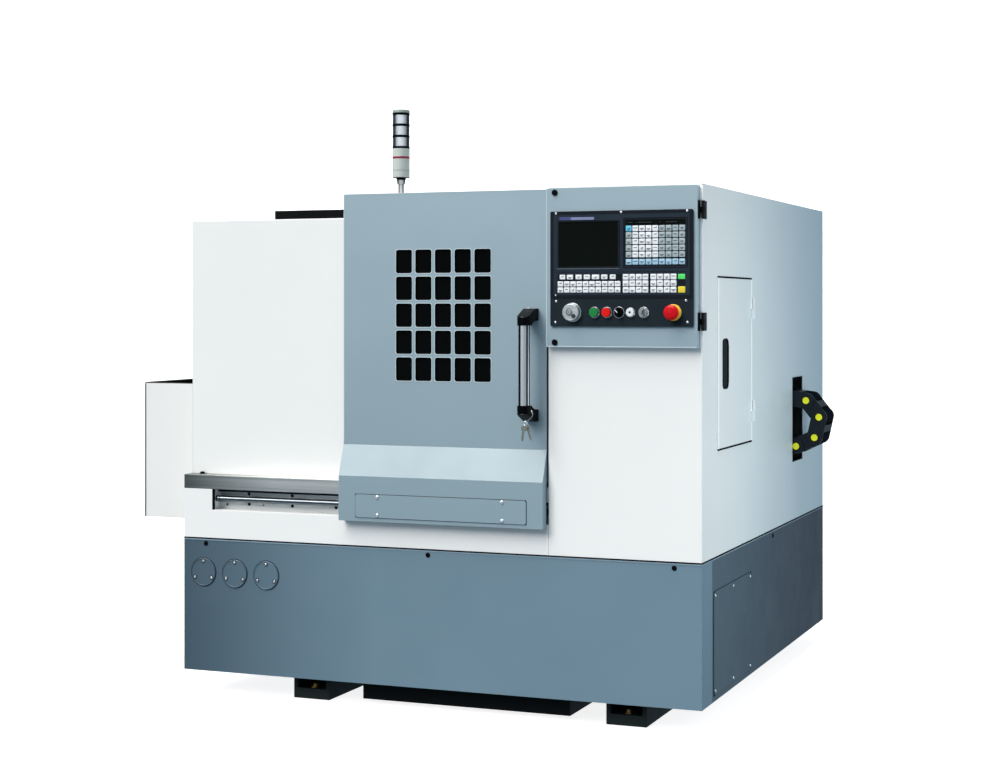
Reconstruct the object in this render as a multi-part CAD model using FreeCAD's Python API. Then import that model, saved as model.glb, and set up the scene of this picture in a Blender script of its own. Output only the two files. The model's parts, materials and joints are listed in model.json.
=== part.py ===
"""A slant-bed turning lathe with a sliding door, a swinging operator panel and a cable chain.

Millimetres. +X runs to the operator's right, +Y away from the operator and +Z up. The origin is
on the floor, midway between the four anchor holes of the foot rails.
"""
import FreeCAD
import Part
import math
import os

V = FreeCAD.Vector

# ---------------------------------------------------------------- driving sizes
SHEET = 3.0            # folded steel sheet
RUN = 0.3              # gap kept beside faces that slide
SPIN = 0.05            # radial gap of a shaft in its bore
CX = -80.0             # middle of the plinth, left of the middle of the feet
PLINTH_W = 1600.0
PLINTH_D = 1430.0
PLINTH_H = 390.0
FOOT_H = 72.0
BODY_H = 1010.0        # right cabinet above the plinth
ROOF_STEP = 72.0       # left half's roof below the cabinet's

FOOT_SPACING = 973.0
FOOT_W = 117.0
FOOT_SETBACK = 60.0
POCKET_W = 92.0
POCKET_L = 110.0
POCKET_FLOOR = 30.0
ANCHOR_R = 9.0
ANCHOR_INSET = 80.0    # from a foot rail's end
RAIL_WEB = 12.0

WRAP = 95.5            # plinth front sheet's return along the sides
FLANGE = 25.0
FLOOR_PLATE = 8.0
SUMP_LEFT = 562.0      # sump's left side from the plinth's left side
SUMP_W = 640.0
SUMP_D = 1150.0
SUMP_CLEAR = 14.0      # under the sump
DRAIN_W = 300.0
DRAIN_D = 180.0

CAP_R = 41.0           # three round covers on the plinth's front
CAP_T = 2.0
CAP_HOLE_R = 35.0
CAP_FIRST = 67.0       # first cover from the plinth's left side
CAP_PITCH = 105.5
CAP_DROP = 99.0        # below the plinth's top
COVER_Y = 108.0        # side cover's front edge from the plinth's front
COVER_W = 383.0
COVER_H = 283.0
COVER_DROP = 91.0
COVER_T = 2.0
COVER_R = 18.0
COVER_LAP = 15.0

SILL_H = 84.5          # plain sill below the rod's recess
RECESS_H = 61.0
RECESS_D = 45.0
RECESS_START = 96.0    # from the plinth's left side
STRIP_H = 41.0
STRIP_T = 2.0
ROD_R = 9.0
ROD_DEPTH = 25.0       # rod's axis behind the front plane
ROD_RISE = 31.5        # above the recess floor
ROD_INSET = 14.0
SUPPORT_PITCH = 145.0
SUPPORT_FIRST = 124.0
SUPPORT_W = 30.0
SUPPORT_H = 10.0
COVER_SETBACK = 43.0   # left cover behind the front plane

DOOR_START = 531.5     # door's left edge from the plinth's left side
DOOR_GAP = 5.0         # from the door to the cabinet
DOOR_OVER = 65.5       # door's top above the left half's roof
KNEE_TOP = 289.5
KNEE_LOW = 203.0
CHUTE_LOW = 75.5
CHUTE_OUT = 30.0
DOOR_LAP = 18.0        # door over the edge of its opening
DOOR_RETURN = 18.0
LINTEL_H = 15.0

GRID_N = 5
CELL_W = 48.0
CELL_H = 65.0
GRID_PITCH_X = 60.6
GRID_PITCH_Z = 75.8
CELL_R = 5.0
GRID_LEFT = 167.5      # grid's left edge from the door's left edge
GRID_LOW = 473.0       # grid's lower edge above the plinth
GLASS_T = 4.0
GLASS_LAP = 18.0

PLATE_LEFT = 54.5      # cover plate on the chute
PLATE_RIGHT = 48.5
PLATE_H = 65.0
PLATE_LOW = 87.0
PLATE_T = 2.0
PLATE_R = 6.0

HANDLE_INSET = 41.5    # handle's axis from the door's right edge
HANDLE_R = 15.0
HANDLE_OUT = 60.0
HANDLE_LOW = 368.0     # above the plinth
HANDLE_H = 309.0
BRACKET_H = 46.0
BRACKET_W = 36.0
BRACKET_LIP = 2.0      # bracket round the tube
BRACKET_CORNER = 14.0
BRACKET_SLOPE = 23.0   # rise of its sloped side
BRACKET_FLAT = 23.0    # level stretch next to the door
HANDLE_WALL = 2.5

BEARING_L = 50.0
BEARING_H = 32.0
BEARING_LEFT = 98.5    # bearings from the door's edges
BEARING_RIGHT = 65.0
BEARING_SLOT = 15.0
SHOE_LEFT = 268.5      # shoes from the door's edges
SHOE_RIGHT = 76.5
TOP_RAIL_START = 279.0
TOP_RAIL_H = 25.0
TOP_RAIL_W = 28.0
TOP_GROOVE_W = 10.0
TOP_GROOVE_D = 12.0
SHOE_L = 30.0
SHOE_IN = 1.0          # arm's end inside the groove's far side
SHOE_T = 6.0

PANEL_INSET = 2.0      # operator panel's left side from the cabinet's left edge
PANEL_EDGE = 6.0       # its right side from the cabinet's right side
PANEL_DROP = 6.0       # its top below the cabinet's top
PANEL_OUT = 20.0
PANEL_GAP = 1.0
PANEL_SHEET = 2.0
PANEL_R = 2.0
UNIT_INSET = 14.2      # operator unit from the panel's edges
UNIT_EDGE = 10.8
UNIT_LOW = 55.5
UNIT_HEAD = 64.0
UNIT_T = 6.0
UNIT_R = 5.0
SEAM = 1.0             # groove between the keys and the switch plate
UNIT_DEPTH = 75.0
SWITCH_H = 75.0
SCREEN_X = 25.0
SCREEN_W = 171.0
SCREEN_H = 128.0
SCREEN_Z = 158.5       # above the unit's lower edge
SCREEN_HEAD = 25.0     # screen's top below the unit's top
POCKET_D = 3.0
KEYS_GAP = 17.6        # from the screen to the keys
KEYS_W = 173.0
KEYS_EDGE = 18.9       # from the keys to the unit's right side
KEYS_INSET = 3.0       # keys' lower edge above the screen's
KEYS_H = 125.5
KEY_COLUMNS = 9
KEY_ROWS = 5
KEY_GAP = 2.0
KEY_RISE = 1.2
KEY_BORDER = 3.0       # mat round the keys
KEY_HEAD = 15.8        # bare strip of the mat above the keys
FOOT_KEYS_H = 17.4     # row of keys set apart under the main keys
FOOT_KEYS_BREAK = 1.8
MAT_FACE = 1.0         # key mats behind the unit's face
LOW_KEYS_REACH = 4.0   # lower keys past the screen's left side
LOW_KEYS_EDGE = 21.0
LOW_KEYS_Z = 91.0
LOW_KEYS_H = 50.0
LOW_ROWS = 3
LOW_COLUMNS = (10, 4, 4, 1)      # groups of lower keys, from the left
LOW_BREAK = 7.0        # between the groups
SWITCH_Z = 38.0        # row of switches above the unit's lower edge
WHEEL_X = 64.0
START_X = 128.0
STOP_X = 163.5
SELECT_X = 198.5
LAMP_X = 231.0
KEYLOCK_X = 268.0
ESTOP_EDGE = 54.0      # stop head from the unit's right side
BEZEL_R = 15.2
BEZEL_T = 3.0
BUTTON_R = 12.4
BUTTON_T = 5.5
BUTTON_STAND = 4.5     # cap above the plate at rest
STEM_R = 4.0
WHEEL_R = 23.5
WHEEL_T = 12.0
WHEEL_RING_R = 26.0
WHEEL_EDGE = 2.0
BUTTON_EDGE = 1.2
STEM_SHORT = 1.0       # stems end in front of the operator unit's rear face
DIMPLE_R = 5.0
DIMPLE_D = 4.0
DIMPLE_AT = 14.0
SELECT_R = 11.5
SELECT_BAR = 9.0
KEYLOCK_R = 11.0
KEYLOCK_BAR = 5.0
KNOB_T = 4.0
KNOB_BAR_W = 6.0
KNOB_BAR_IN = 1.0
ESTOP_R = 20.0
ESTOP_COLLAR_R = 22.0
ESTOP_COLLAR_T = 3.0
ESTOP_NECK_R = 9.0
ESTOP_STAND = 8.0
ESTOP_HEAD = 14.0
ESTOP_TRAVEL = 5.5
ESTOP_EDGE_IN = 2.0    # head's lower edge, side and crown
ESTOP_EDGE_H = 3.0
ESTOP_SIDE_H = 5.0
ESTOP_CROWN_IN = 6.0
ESTOP_CROWN_H = 1.5
LOCK_R = 8.25
LOCK_T = 3.0
LOCK_INSET_X = 25.0
LOCK_INSET_Z = 12.0
LOCK_SLOT_L = 10.0
LOCK_SLOT_W = 2.0
LOCK_SLOT_D = 1.2
LOCK_STEM_SHORT = 4.0  # its stem ends before the cabinet's front

HINGE_R = 5.0
HINGE_PIN_R = 2.5
HINGE_LEAF = 3.0
HINGE_H = 48.0
HINGE_LOW = 45.0       # lower hinge above the panel's lower edge
HINGE_HIGH = 89.0      # upper hinge's lower end below the panel's top
HINGE_OUT = 5.0        # pin outside the cabinet's side
HINGE_FRONT = 5.0      # pin in front of the cabinet's front
HINGE_BACK = 35.0      # fixed leaf's reach behind the front plane
HINGE_SPACE = 1.0      # from the barrel to the fixed leaf

ACCESS_Y = 141.0       # access door's front edge behind the front plane
ACCESS_W = 353.0
ACCESS_H = 478.0
ACCESS_LOW = 288.0
ACCESS_T = 2.0
ACCESS_LAP = 15.0
SLOT_Y = 47.0          # sight slot from the access door's front edge
SLOT_W = 63.0
SLOT_H = 138.0
SLOT_LOW = 167.0
SLOT_R = 12.0
ACCESS_KNUCKLE_R = 4.0
ACCESS_PIN_R = 2.0
ACCESS_KNUCKLE = 60.0
ACCESS_KNUCKLE_IN = 60.0
ACCESS_LEAF = 22.0
TANK_L = 130.0
TANK_D = 120.0
TANK_H = 150.0
TANK_R = 12.0
TANK_INSET = 20.0      # from the cabinet's side
TANK_DROP = 30.0       # its floor below the sight slot
TANK_PAST = 20.0       # its rear behind the sight slot
TANK_FLAP = 60.0
FILLER_AT = 40.0
FILLER_R = 22.0
FILLER_H = 16.0
PUMP_L = 55.0
PUMP_D = 95.0
PUMP_H = 55.0
PUMP_SETBACK = 15.0

CHAIN_Y = 1005.0       # chain's near side behind the front plane
CHAIN_W = 110.0
CHAIN_R = 77.0
CHAIN_PITCH = 67.0
CHAIN_HALF = 25.0
CHAIN_PLATE = 5.0
CHAIN_BAR = 4.0
CHAIN_PIN_R = 5.0
CHAIN_CAP_R = 11.0
CHAIN_CAP_T = 1.0
CHAIN_X = 9.0          # bend's centre outside the cabinet's side
CHAIN_Z = 313.0        # bend's centre above the plinth
CHAIN_LOWER = 5        # links on the lower run
CHAIN_UPPER = 4        # links on the upper run
SHELF_L = 350.0        # chain's shelf behind the bed
SHELF_OUT = 60.0       # its reach past the bed's right end
SHELF_WEB = 60.0       # its web on the bed's rear, above the hollow
CHAIN_SLOT_W = 140.0
CHAIN_SLOT_LOW = 186.0
CHAIN_SLOT_H = 270.0

HOOD_OUT = 243.0
HOOD_Y = 150.0         # hood's front behind the front plane
HOOD_D = 500.0
HOOD_LOW = 35.0
HOOD_H = 414.0
HOOD_SHEET = 2.0
HOOD_LIP = 10.0        # lip folded in round the hood's open top
HOOD_PORT_R = 65.0     # port in its end for bar stock

TOWER_X = 638.0        # from the plinth's left side
TOWER_Y = 150.0
TOWER_R = 25.0
POLE_H = 120.0
POLE_R = 8.0
TOWER_FOOT = 3.0
NECK_H = 19.0          # cone under the lamp's body
NECK_LOW_R = 10.7
NECK_TOP_R = 14.3
LAMP_BODY_H = 52.0
LENS_COUNT = 4
LENS_H = 26.0
RING_H = 6.6           # rings between the lenses
RING_LIP = 0.5
LAMP_CAP_H = 9.0
LAMP_CAP_EDGE = 2.5

SLANT = 45.0
SPINDLE_Y = 465.0      # spindle's axis behind the front plane
SPINDLE_Z = 368.0      # above the plinth
SWING = 230.0          # spindle's axis above the bed's slanted face
BED_START = 60.0       # from the plinth's left side
BED_END = 160.0        # from the plinth's right side
BED_FRONT = 415.0      # behind the front plane
BED_BACK = 985.0
BED_WALL = 40.0
RAIL_W = 28.0
RAIL_H = 26.0
RAIL_LOW = -60.0       # rails up the slanted face, from the spindle's foot
RAIL_HIGH = 400.0
SCREW_UP = 170.0
SCREW_DOWN = 12.0
SCREW_R = 12.0
JOURNAL_R = 8.0
GROOVE_W = 62.0
GROOVE_D = 45.0
RAIL_FOOT = 8.0
RAIL_WAIST = 4.0
RAIL_SETBACK = 10.0
JOURNAL_IN = 20.0
JOURNAL_OUT = 35.0
THREAD_END = 4.0

HEAD_START = 80.0      # headstock from the plinth's left side
HEAD_END = 570.0
HEAD_FOOT = 380.0
HEAD_R = 118.0
HEAD_FOOT_T = 40.0
HEAD_NECK = 110.0
HEAD_BORE = 6.0        # headstock's bore round the shaft
BEARING_R = 70.0
BEARING_W = 50.0
SHAFT_R = 40.0
BAR_HOLE_R = 24.0
TAIL_OUT = 200.0       # chuck cylinder's end outside the left side
CYLINDER_R = 68.0
CYLINDER_L = 130.0
NOSE_R = 68.0
NOSE_T = 24.0
CHUCK_R = 82.5
CHUCK_L = 80.0
CHUCK_EDGE = 4.0
JAW_W = 22.0
JAW_D = 20.0
JAW_OUT = 32.0
JAW_IN_R = 28.0
JAW_LEN = 46.0
JAW_STEP_1 = 11.0      # steps in front of the chuck's face
JAW_STEP_2 = 22.5
JAW_HIGH_1 = 18.5      # and outward from the jaw's inner end
JAW_HIGH_2 = 32.0
BELT_W = 30.0
BELT_T = 5.0
BELT_SIDE = 1.0        # pulley's rim beside the belt
BELT_START = 9.0       # belt's edge inside the left side
PULLEY_R = 72.0
MOTOR_PULLEY_R = 50.0
MOTOR_Y = 595.0
MOTOR_Z = -162.0
MOTOR_R = 105.0
MOTOR_L = 300.0
MOTOR_FLANGE = 250.0
MOTOR_SHAFT_R = 19.0
MOTOR_BAY = 230.0
MOTOR_ROOM = 20.0
MOTOR_FLANGE_T = 15.0
MOTOR_PILOT_R = 60.0
MOTOR_PILOT_T = 3.0
MOTOR_BORE = 60.0
MOTOR_SHAFT_IN = 30.0
SERVO_FLANGE = 120.0
SERVO_FLANGE_T = 15.0
SERVO_W = 100.0
SERVO_L = 110.0
SERVO_R = 10.0
SERVO_BORE = 40.0

SADDLE_L = 240.0
SADDLE_PARK = 20.0     # parked saddle from the bed's right end
SADDLE_LOW = -110.0
SADDLE_HIGH = 500.0
SADDLE_GAP = 4.0
SADDLE_T = 45.0
TRUCK_W = 60.0
TRUCK_L = 70.0
TRUCK_FLOOR = 6.0
NUT_L = 80.0
NUT_GAP = 5.0
ARM_W = 60.0           # arm from the saddle to the chain
ARM_T = 6.0
ARM_IN = 20.0
ARM_RISE = 14.0
ARM_BACK = 40.0
WAY_W = 30.0
WAY_H = 25.0
WAY_REACH = 80.0
CROSS_LOW = 150.0
CROSS_L = 230.0
CROSS_T = 36.0
TURRET_UP = 260.0
SLIDE_INSET = 5.0
SKIRT_W = 18.0
HOUSING_H = 180.0
HOUSING_W = 190.0
HOUSING_INSET = 20.0
HOUSING_R = 20.0
BOSS_R = 72.0
BOSS_OUT = 6.0
TURRET_SHAFT_R = 30.0
TURRET_SHAFT_L = 50.0
TURRET_BORE = 60.0
TURRET_FLAT = 120.0
TURRET_T = 60.0
TURRET_STATIONS = 8
HOLDER_W = 56.0
HOLDER_H = 18.0
HOLDER_IN = 2.0
HOLDER_FRONT = 6.0
HOLDER_BACK = 10.0
TOOL_OUT = 38.0
TOOL_SIDE = 20.0

PAN_LIP = 20.0         # chip pan's rear edge below the bed's face
PAN_DROP = 130.0
PAN_NEAR = 100.0
PAN_FAR = 260.0
PAN_TOP = 9.0          # its front edge below the plinth's top

OUT_DIR = "parts"

# ---------------------------------------------------------------- places worked out from the sizes
LEFT_H = BODY_H - ROOF_STEP
KEYS_X = SCREEN_X + SCREEN_W + KEYS_GAP
KEYS_Z = SCREEN_Z + KEYS_INSET
UNIT_W = KEYS_X + KEYS_W + KEYS_EDGE
UNIT_H = SCREEN_Z + SCREEN_H + SCREEN_HEAD
ESTOP_X = UNIT_W - ESTOP_EDGE
PANEL_W = UNIT_INSET + UNIT_W + UNIT_EDGE
PANEL_H = UNIT_LOW + UNIT_H + UNIT_HEAD
PANEL_LOW = BODY_H - PANEL_DROP - PANEL_H
CABINET_W = PANEL_INSET + PANEL_W + PANEL_EDGE
DOOR_W = PLINTH_W - DOOR_START - DOOR_GAP - CABINET_W
DOOR_TOP = LEFT_H + DOOR_OVER
HANDLE_X = DOOR_W - HANDLE_INSET
PLATE_W = DOOR_W - PLATE_LEFT - PLATE_RIGHT
BEARING_AT = (BEARING_LEFT, DOOR_W - BEARING_RIGHT)
SHOE_AT = (SHOE_LEFT, DOOR_W - SHOE_RIGHT)
XL = CX - PLINTH_W / 2
XR = CX + PLINTH_W / 2
YF = -PLINTH_D / 2
YB = PLINTH_D / 2
ZP = FOOT_H
ZS = ZP + PLINTH_H
ZTOP = ZS + BODY_H
ZLEFT = ZS + LEFT_H
Y_WRAP = YF + WRAP
Z_REC = ZS + SILL_H
Z_STRIP = Z_REC + RECESS_H
Z_COVER = Z_STRIP + STRIP_H
Y_REC = YF + RECESS_D
Y_COVER = YF + COVER_SETBACK
X_REC = XL + RECESS_START
ROD_Y = YF + ROD_DEPTH
ROD_Z = Z_REC + ROD_RISE
DOOR_L = XL + DOOR_START
DOOR_R = DOOR_L + DOOR_W
XC = DOOR_R + DOOR_GAP
Y_CHUTE = YF - CHUTE_OUT
OPEN_L = DOOR_L + DOOR_LAP
PX = XC + PANEL_INSET
PZ = ZS + PANEL_LOW
Y_PANEL = YF - PANEL_OUT
UX = PX + UNIT_INSET
UZ = PZ + UNIT_LOW
Y_UNIT = Y_PANEL - UNIT_T
SW_Z = UZ + SWITCH_Z
HX = XR + HINGE_OUT
HY = YF - HINGE_FRONT
AY = YF + ACCESS_Y
AZ = ZS + ACCESS_LOW
AHX = XR + ACCESS_T + RUN + ACCESS_KNUCKLE_R
AHY = AY + ACCESS_W + ACCESS_KNUCKLE_R + RUN
SPY = YF + SPINDLE_Y
SPZ = ZS + SPINDLE_Z
SIN = math.sin(math.radians(SLANT))
COS = math.cos(math.radians(SLANT))
FOOT_Y = SPY + SWING * SIN          # foot of the spindle's axis on the slanted face
FOOT_Z = SPZ - SWING * COS
BX0 = XL + BED_START
BX1 = XR - BED_END
BY0 = YF + BED_FRONT
BY1 = YF + BED_BACK
BED_Z0 = ZP + FLOOR_PLATE
HEAD_X0 = XL + HEAD_START
HEAD_X1 = XL + HEAD_END
NOSE_X = HEAD_X1 + RUN
CHUCK_X = NOSE_X + NOSE_T
BELT_X = XL + BELT_START
MY = YF + MOTOR_Y
MZ = ZS + MOTOR_Z
SX1 = BX1 - SADDLE_PARK
SX0 = SX1 - SADDLE_L
SADDLE_V = RAIL_H + SADDLE_GAP
WAY_V = SADDLE_V + SADDLE_T
CROSS_V = WAY_V + WAY_H + RUN
HOUSING_V = CROSS_V + CROSS_T
CHX = XR + CHAIN_X
CHZ = ZS + CHAIN_Z
CHY = YF + CHAIN_Y


# ---------------------------------------------------------------- small building tools
def box(x0, x1, y0, y1, z0, z1):
    """Box between opposite corners."""
    return Part.makeBox(x1 - x0, y1 - y0, z1 - z0, V(x0, y0, z0))


def rod(centre, direction, radius, length):
    """Cylinder from centre along direction."""
    return Part.makeCylinder(radius, length, V(*centre), V(*direction))


def ring(centre, direction, outer, inner, length):
    """Cylinder with a bore right through it."""
    return rod(centre, direction, outer, length).cut(rod(centre, direction, inner, length))


def place(axis, u, v, at):
    """Point at (u, v) in the plane across an axis."""
    return {"X": V(at, u, v), "Y": V(u, at, v), "Z": V(u, v, at)}[axis]


def prism(points, axis, start, end):
    """Closed outline pushed along an axis."""
    corners = [place(axis, u, v, start) for u, v in points]
    face = Part.Face(Part.makePolygon(corners + corners[:1]))
    return face.extrude(place(axis, 0, 0, end) - place(axis, 0, 0, start))


def fold(points, thickness, axis, start, end):
    """Sheet of even thickness bent along a line of points, on the line's left side."""
    normals = []
    for (u0, v0), (u1, v1) in zip(points, points[1:]):
        run = math.hypot(u1 - u0, v1 - v0)
        normals.append((-(v1 - v0) / run, (u1 - u0) / run))
    joined = [normals[0]]
    for (a, b), (c, d) in zip(normals, normals[1:]):
        share = 1 + a * c + b * d
        joined.append(((a + c) / share, (b + d) / share))
    joined.append(normals[-1])
    inner = [(u + thickness * a, v + thickness * b) for (u, v), (a, b) in zip(points, joined)]
    return prism(points + inner[::-1], axis, start, end)


def round_edges(shape, axis, radius):
    """Round the straight edges that run along an axis."""
    way = {"X": V(1, 0, 0), "Y": V(0, 1, 0), "Z": V(0, 0, 1)}[axis]
    edges = [e for e in shape.Edges
             if abs(abs(e.tangentAt(e.FirstParameter).dot(way)) - 1) < 1e-6]
    return shape.makeFillet(radius, edges)


def pad(x0, x1, y0, y1, z0, z1, axis, radius):
    """Box with its edges along one axis rounded."""
    return round_edges(box(x0, x1, y0, y1, z0, z1), axis, radius)


def fuse(shapes):
    """One solid from pieces that meet."""
    shapes = list(shapes)
    return shapes[0].multiFuse(shapes[1:]).removeSplitter()


def moved(shape, x=0, y=0, z=0):
    """Copy of a shape, shifted."""
    copy = shape.copy()
    copy.translate(V(x, y, z))
    return copy


def slanted(shape):
    """Carry a shape from the slanted face's own frame (along, up the slope, off the face)."""
    copy = shape.copy()
    copy.rotate(V(0, 0, 0), V(1, 0, 0), SLANT)
    copy.translate(V(0, FOOT_Y, FOOT_Z))
    return copy


def save(name, shape):
    """Write one sub-part."""
    shape.exportStep(os.path.join(OUT_DIR, name + ".step"))


def group(shapes):
    """Separate solids that share a node."""
    return Part.makeCompound(list(shapes))


# ---------------------------------------------------------------- feet, sump and plinth
def foot_rail(x):
    """U-shaped rail with an open pocket and an anchor hole at each end."""
    end = -YF - FOOT_SETBACK
    half = POCKET_W / 2
    rail = box(x - FOOT_W / 2, x + FOOT_W / 2, -end, end, 0, FOOT_H)
    rail = rail.cut(box(x - half, x + half, -end + POCKET_L + RAIL_WEB,
                        end - POCKET_L - RAIL_WEB, RAIL_WEB, FOOT_H))
    for side in (-1, 1):
        mouth = sorted((side * end, side * (end - POCKET_L)))
        rail = rail.cut(box(x - half, x + half, mouth[0], mouth[1], POCKET_FLOOR, FOOT_H))
        rail = rail.cut(rod((x, side * (end - ANCHOR_INSET), 0), (0, 0, 1), ANCHOR_R, POCKET_FLOOR))
    return rail


def coolant_sump():
    """Open tray under the plinth floor."""
    x0 = XL + SUMP_LEFT
    y0 = YF + FOOT_SETBACK
    tray = box(x0, x0 + SUMP_W, y0, y0 + SUMP_D, SUMP_CLEAR, ZP)
    return tray.cut(box(x0 + SHEET, x0 + SUMP_W - SHEET, y0 + SHEET, y0 + SUMP_D - SHEET,
                        SUMP_CLEAR + SHEET, ZP))


def plinth_base():
    """Floor plate welded to the folded wrap of right, rear and left sides."""
    inner = FLANGE + SHEET
    wrap = box(XL, XR, Y_WRAP, YB, ZP, ZS)
    wrap = wrap.cut(box(XL + SHEET, XR - SHEET, Y_WRAP, YB - SHEET, ZP, ZS - SHEET))
    wrap = wrap.cut(box(XL + inner, XR - inner, Y_WRAP, YB - inner, ZS - SHEET, ZS))
    floor = box(XL + SHEET, XR - SHEET, YF + SHEET, YB - SHEET, ZP, ZP + FLOOR_PLATE)
    drain_y = BY0 - DRAIN_D / 2
    floor = floor.cut(box(CX - DRAIN_W / 2, CX + DRAIN_W / 2, drain_y - DRAIN_D,
                          drain_y, ZP, ZP + FLOOR_PLATE))
    window = box(XR - SHEET, XR, YF + COVER_Y + COVER_LAP, YF + COVER_Y + COVER_W - COVER_LAP,
                 ZS - COVER_DROP - COVER_H + COVER_LAP, ZS - COVER_DROP - COVER_LAP)
    notch = box(XL + SHEET, XL + inner, SPY - PULLEY_R - FLANGE, MY + MOTOR_PULLEY_R + FLANGE,
                ZS - SHEET, ZS)
    return fuse([wrap, floor]).cut(window).cut(notch)


def cap_places():
    """Middles of the three round covers."""
    return [(XL + CAP_FIRST + CAP_PITCH * i, ZS - CAP_DROP) for i in range(3)]


def plinth_front():
    """Front sheet with its two side returns and top flange."""
    inner = FLANGE + SHEET
    front = box(XL, XR, YF, Y_WRAP, ZP, ZS)
    front = front.cut(box(XL + SHEET, XR - SHEET, YF + SHEET, Y_WRAP, ZP, ZS - SHEET))
    front = front.cut(box(XL + inner, XR - inner, YF + inner, Y_WRAP, ZS - SHEET, ZS))
    for x, z in cap_places():
        front = front.cut(rod((x, YF, z), (0, 1, 0), CAP_HOLE_R, SHEET))
    return front


def round_cap(x, z):
    """Round cover with a spigot in its hole."""
    disc = rod((x, YF - CAP_T, z), (0, 1, 0), CAP_R, CAP_T)
    return disc.fuse(ring((x, YF, z), (0, 1, 0), CAP_HOLE_R, CAP_HOLE_R - SHEET, SHEET))


def side_access_cover():
    """Screwed cover over the plinth's right side window."""
    return pad(XR, XR + COVER_T, YF + COVER_Y, YF + COVER_Y + COVER_W,
               ZS - COVER_DROP - COVER_H, ZS - COVER_DROP, "X", COVER_R)


# ---------------------------------------------------------------- white body
def front_sill():
    """Sill with the long recess that holds the door's guide rod."""
    face = box(XL, XC, YF, YF + SHEET, ZS, Z_STRIP)
    face = face.cut(box(X_REC, XC, YF, YF + SHEET, Z_REC, Z_STRIP))
    shelf = box(X_REC - SHEET, XC, YF, Y_REC + SHEET, Z_REC - SHEET, Z_REC)
    back = box(X_REC - SHEET, XC, Y_REC, Y_REC + SHEET, Z_REC - SHEET, Z_STRIP)
    end = box(X_REC - SHEET, X_REC, YF, Y_REC + SHEET, Z_REC - SHEET, Z_STRIP)
    foot = box(XL, XC, YF, YF + SHEET + FLANGE, ZS, ZS + SHEET)
    return fuse([face, shelf, back, end, foot])


def rail_strip():
    """Stainless channel over the recess; its top runs back to the left cover."""
    low = Z_STRIP
    top = Z_COVER
    line = [(Y_COVER + SHEET, low), (YF, low), (YF, top), (Y_COVER + SHEET, top)]
    return fold(line, -STRIP_T, "X", XL, XC)


def support_places():
    """Middles of the rod's supports along the recess."""
    places = []
    x = X_REC + SUPPORT_FIRST
    while x < XC - SUPPORT_W:
        places.append(x)
        x += SUPPORT_PITCH
    return places


def guide_rod():
    """Round rod on its short supports."""
    x0 = X_REC + ROD_INSET
    pieces = [rod((x0, ROD_Y, ROD_Z), (1, 0, 0), ROD_R, XC - ROD_INSET - x0)]
    for x in support_places():
        pieces.append(box(x - SUPPORT_W / 2, x + SUPPORT_W / 2, ROD_Y, Y_REC,
                          ROD_Z - SUPPORT_H / 2, ROD_Z + SUPPORT_H / 2))
    return fuse(pieces)


def left_cover():
    """Set-back front sheet of the left half, folded over into its roof."""
    face = box(XL, XC, Y_COVER, Y_COVER + SHEET, Z_COVER, ZLEFT)
    face = face.cut(box(OPEN_L, XC, Y_COVER, Y_COVER + SHEET, Z_COVER, ZLEFT - LINTEL_H))
    jamb = box(OPEN_L - SHEET, OPEN_L, Y_COVER, Y_COVER + FLANGE, Z_COVER, ZLEFT)
    roof = box(XL, XC, Y_COVER, YB, ZLEFT - SHEET, ZLEFT)
    return fuse([face, jamb, roof])


def left_side():
    """Left side sheet with the hole for the spindle's tail."""
    side = box(XL, XL + SHEET, Y_COVER + SHEET, YB - SHEET, ZS, ZLEFT - SHEET)
    ear = box(XL, XL + SHEET, YF + SHEET, Y_COVER + SHEET, ZS + SHEET, Z_STRIP)
    hole = rod((XL, SPY, SPZ), (1, 0, 0), SHAFT_R + FLANGE, SHEET)
    return fuse([side, ear]).cut(hole)


def rear_sheet():
    """Flat rear sheet of the left half, up to its roof."""
    return box(XL, XR - SHEET, YB - SHEET, YB, ZS, ZLEFT - SHEET)


def right_cabinet():
    """Welded front, side and roof of the right half, with its three openings."""
    front = box(XC, XR, YF, YF + SHEET, ZS, ZTOP)
    side = box(XR - SHEET, XR, YF, YB, ZS, ZTOP)
    roof = box(XC, XR, YF, YB, ZTOP - SHEET, ZTOP)
    jamb = box(XC, XC + SHEET, YF, Y_REC + SHEET, ZS, ZTOP)
    step = box(XC, XC + SHEET, YF, YB, ZLEFT - SHEET, ZTOP)
    rear = box(XC, XR, YB - SHEET, YB, ZLEFT - SHEET, ZTOP)
    foot = box(XC, XR, YF, YF + SHEET + FLANGE, ZS, ZS + SHEET)
    panel_hole = box(PX + UNIT_INSET - SHEET, XR - FLANGE / 2, YF, YF + SHEET,
                     PZ + FLANGE, PZ + PANEL_H - FLANGE)
    access_hole = box(XR - SHEET, XR, AY + ACCESS_LAP, AY + ACCESS_W - ACCESS_LAP,
                      AZ + ACCESS_LAP, AZ + ACCESS_H - ACCESS_LAP)
    slot_y = CHY - (CHAIN_SLOT_W - CHAIN_W) / 4
    slot = box(XR - SHEET, XR, slot_y, slot_y + CHAIN_SLOT_W, ZS + CHAIN_SLOT_LOW,
               ZS + CHAIN_SLOT_LOW + CHAIN_SLOT_H)
    shell = fuse([front, side, roof, jamb, step, rear, foot])
    return shell.cut(panel_hole).cut(access_hole).cut(slot)


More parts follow.
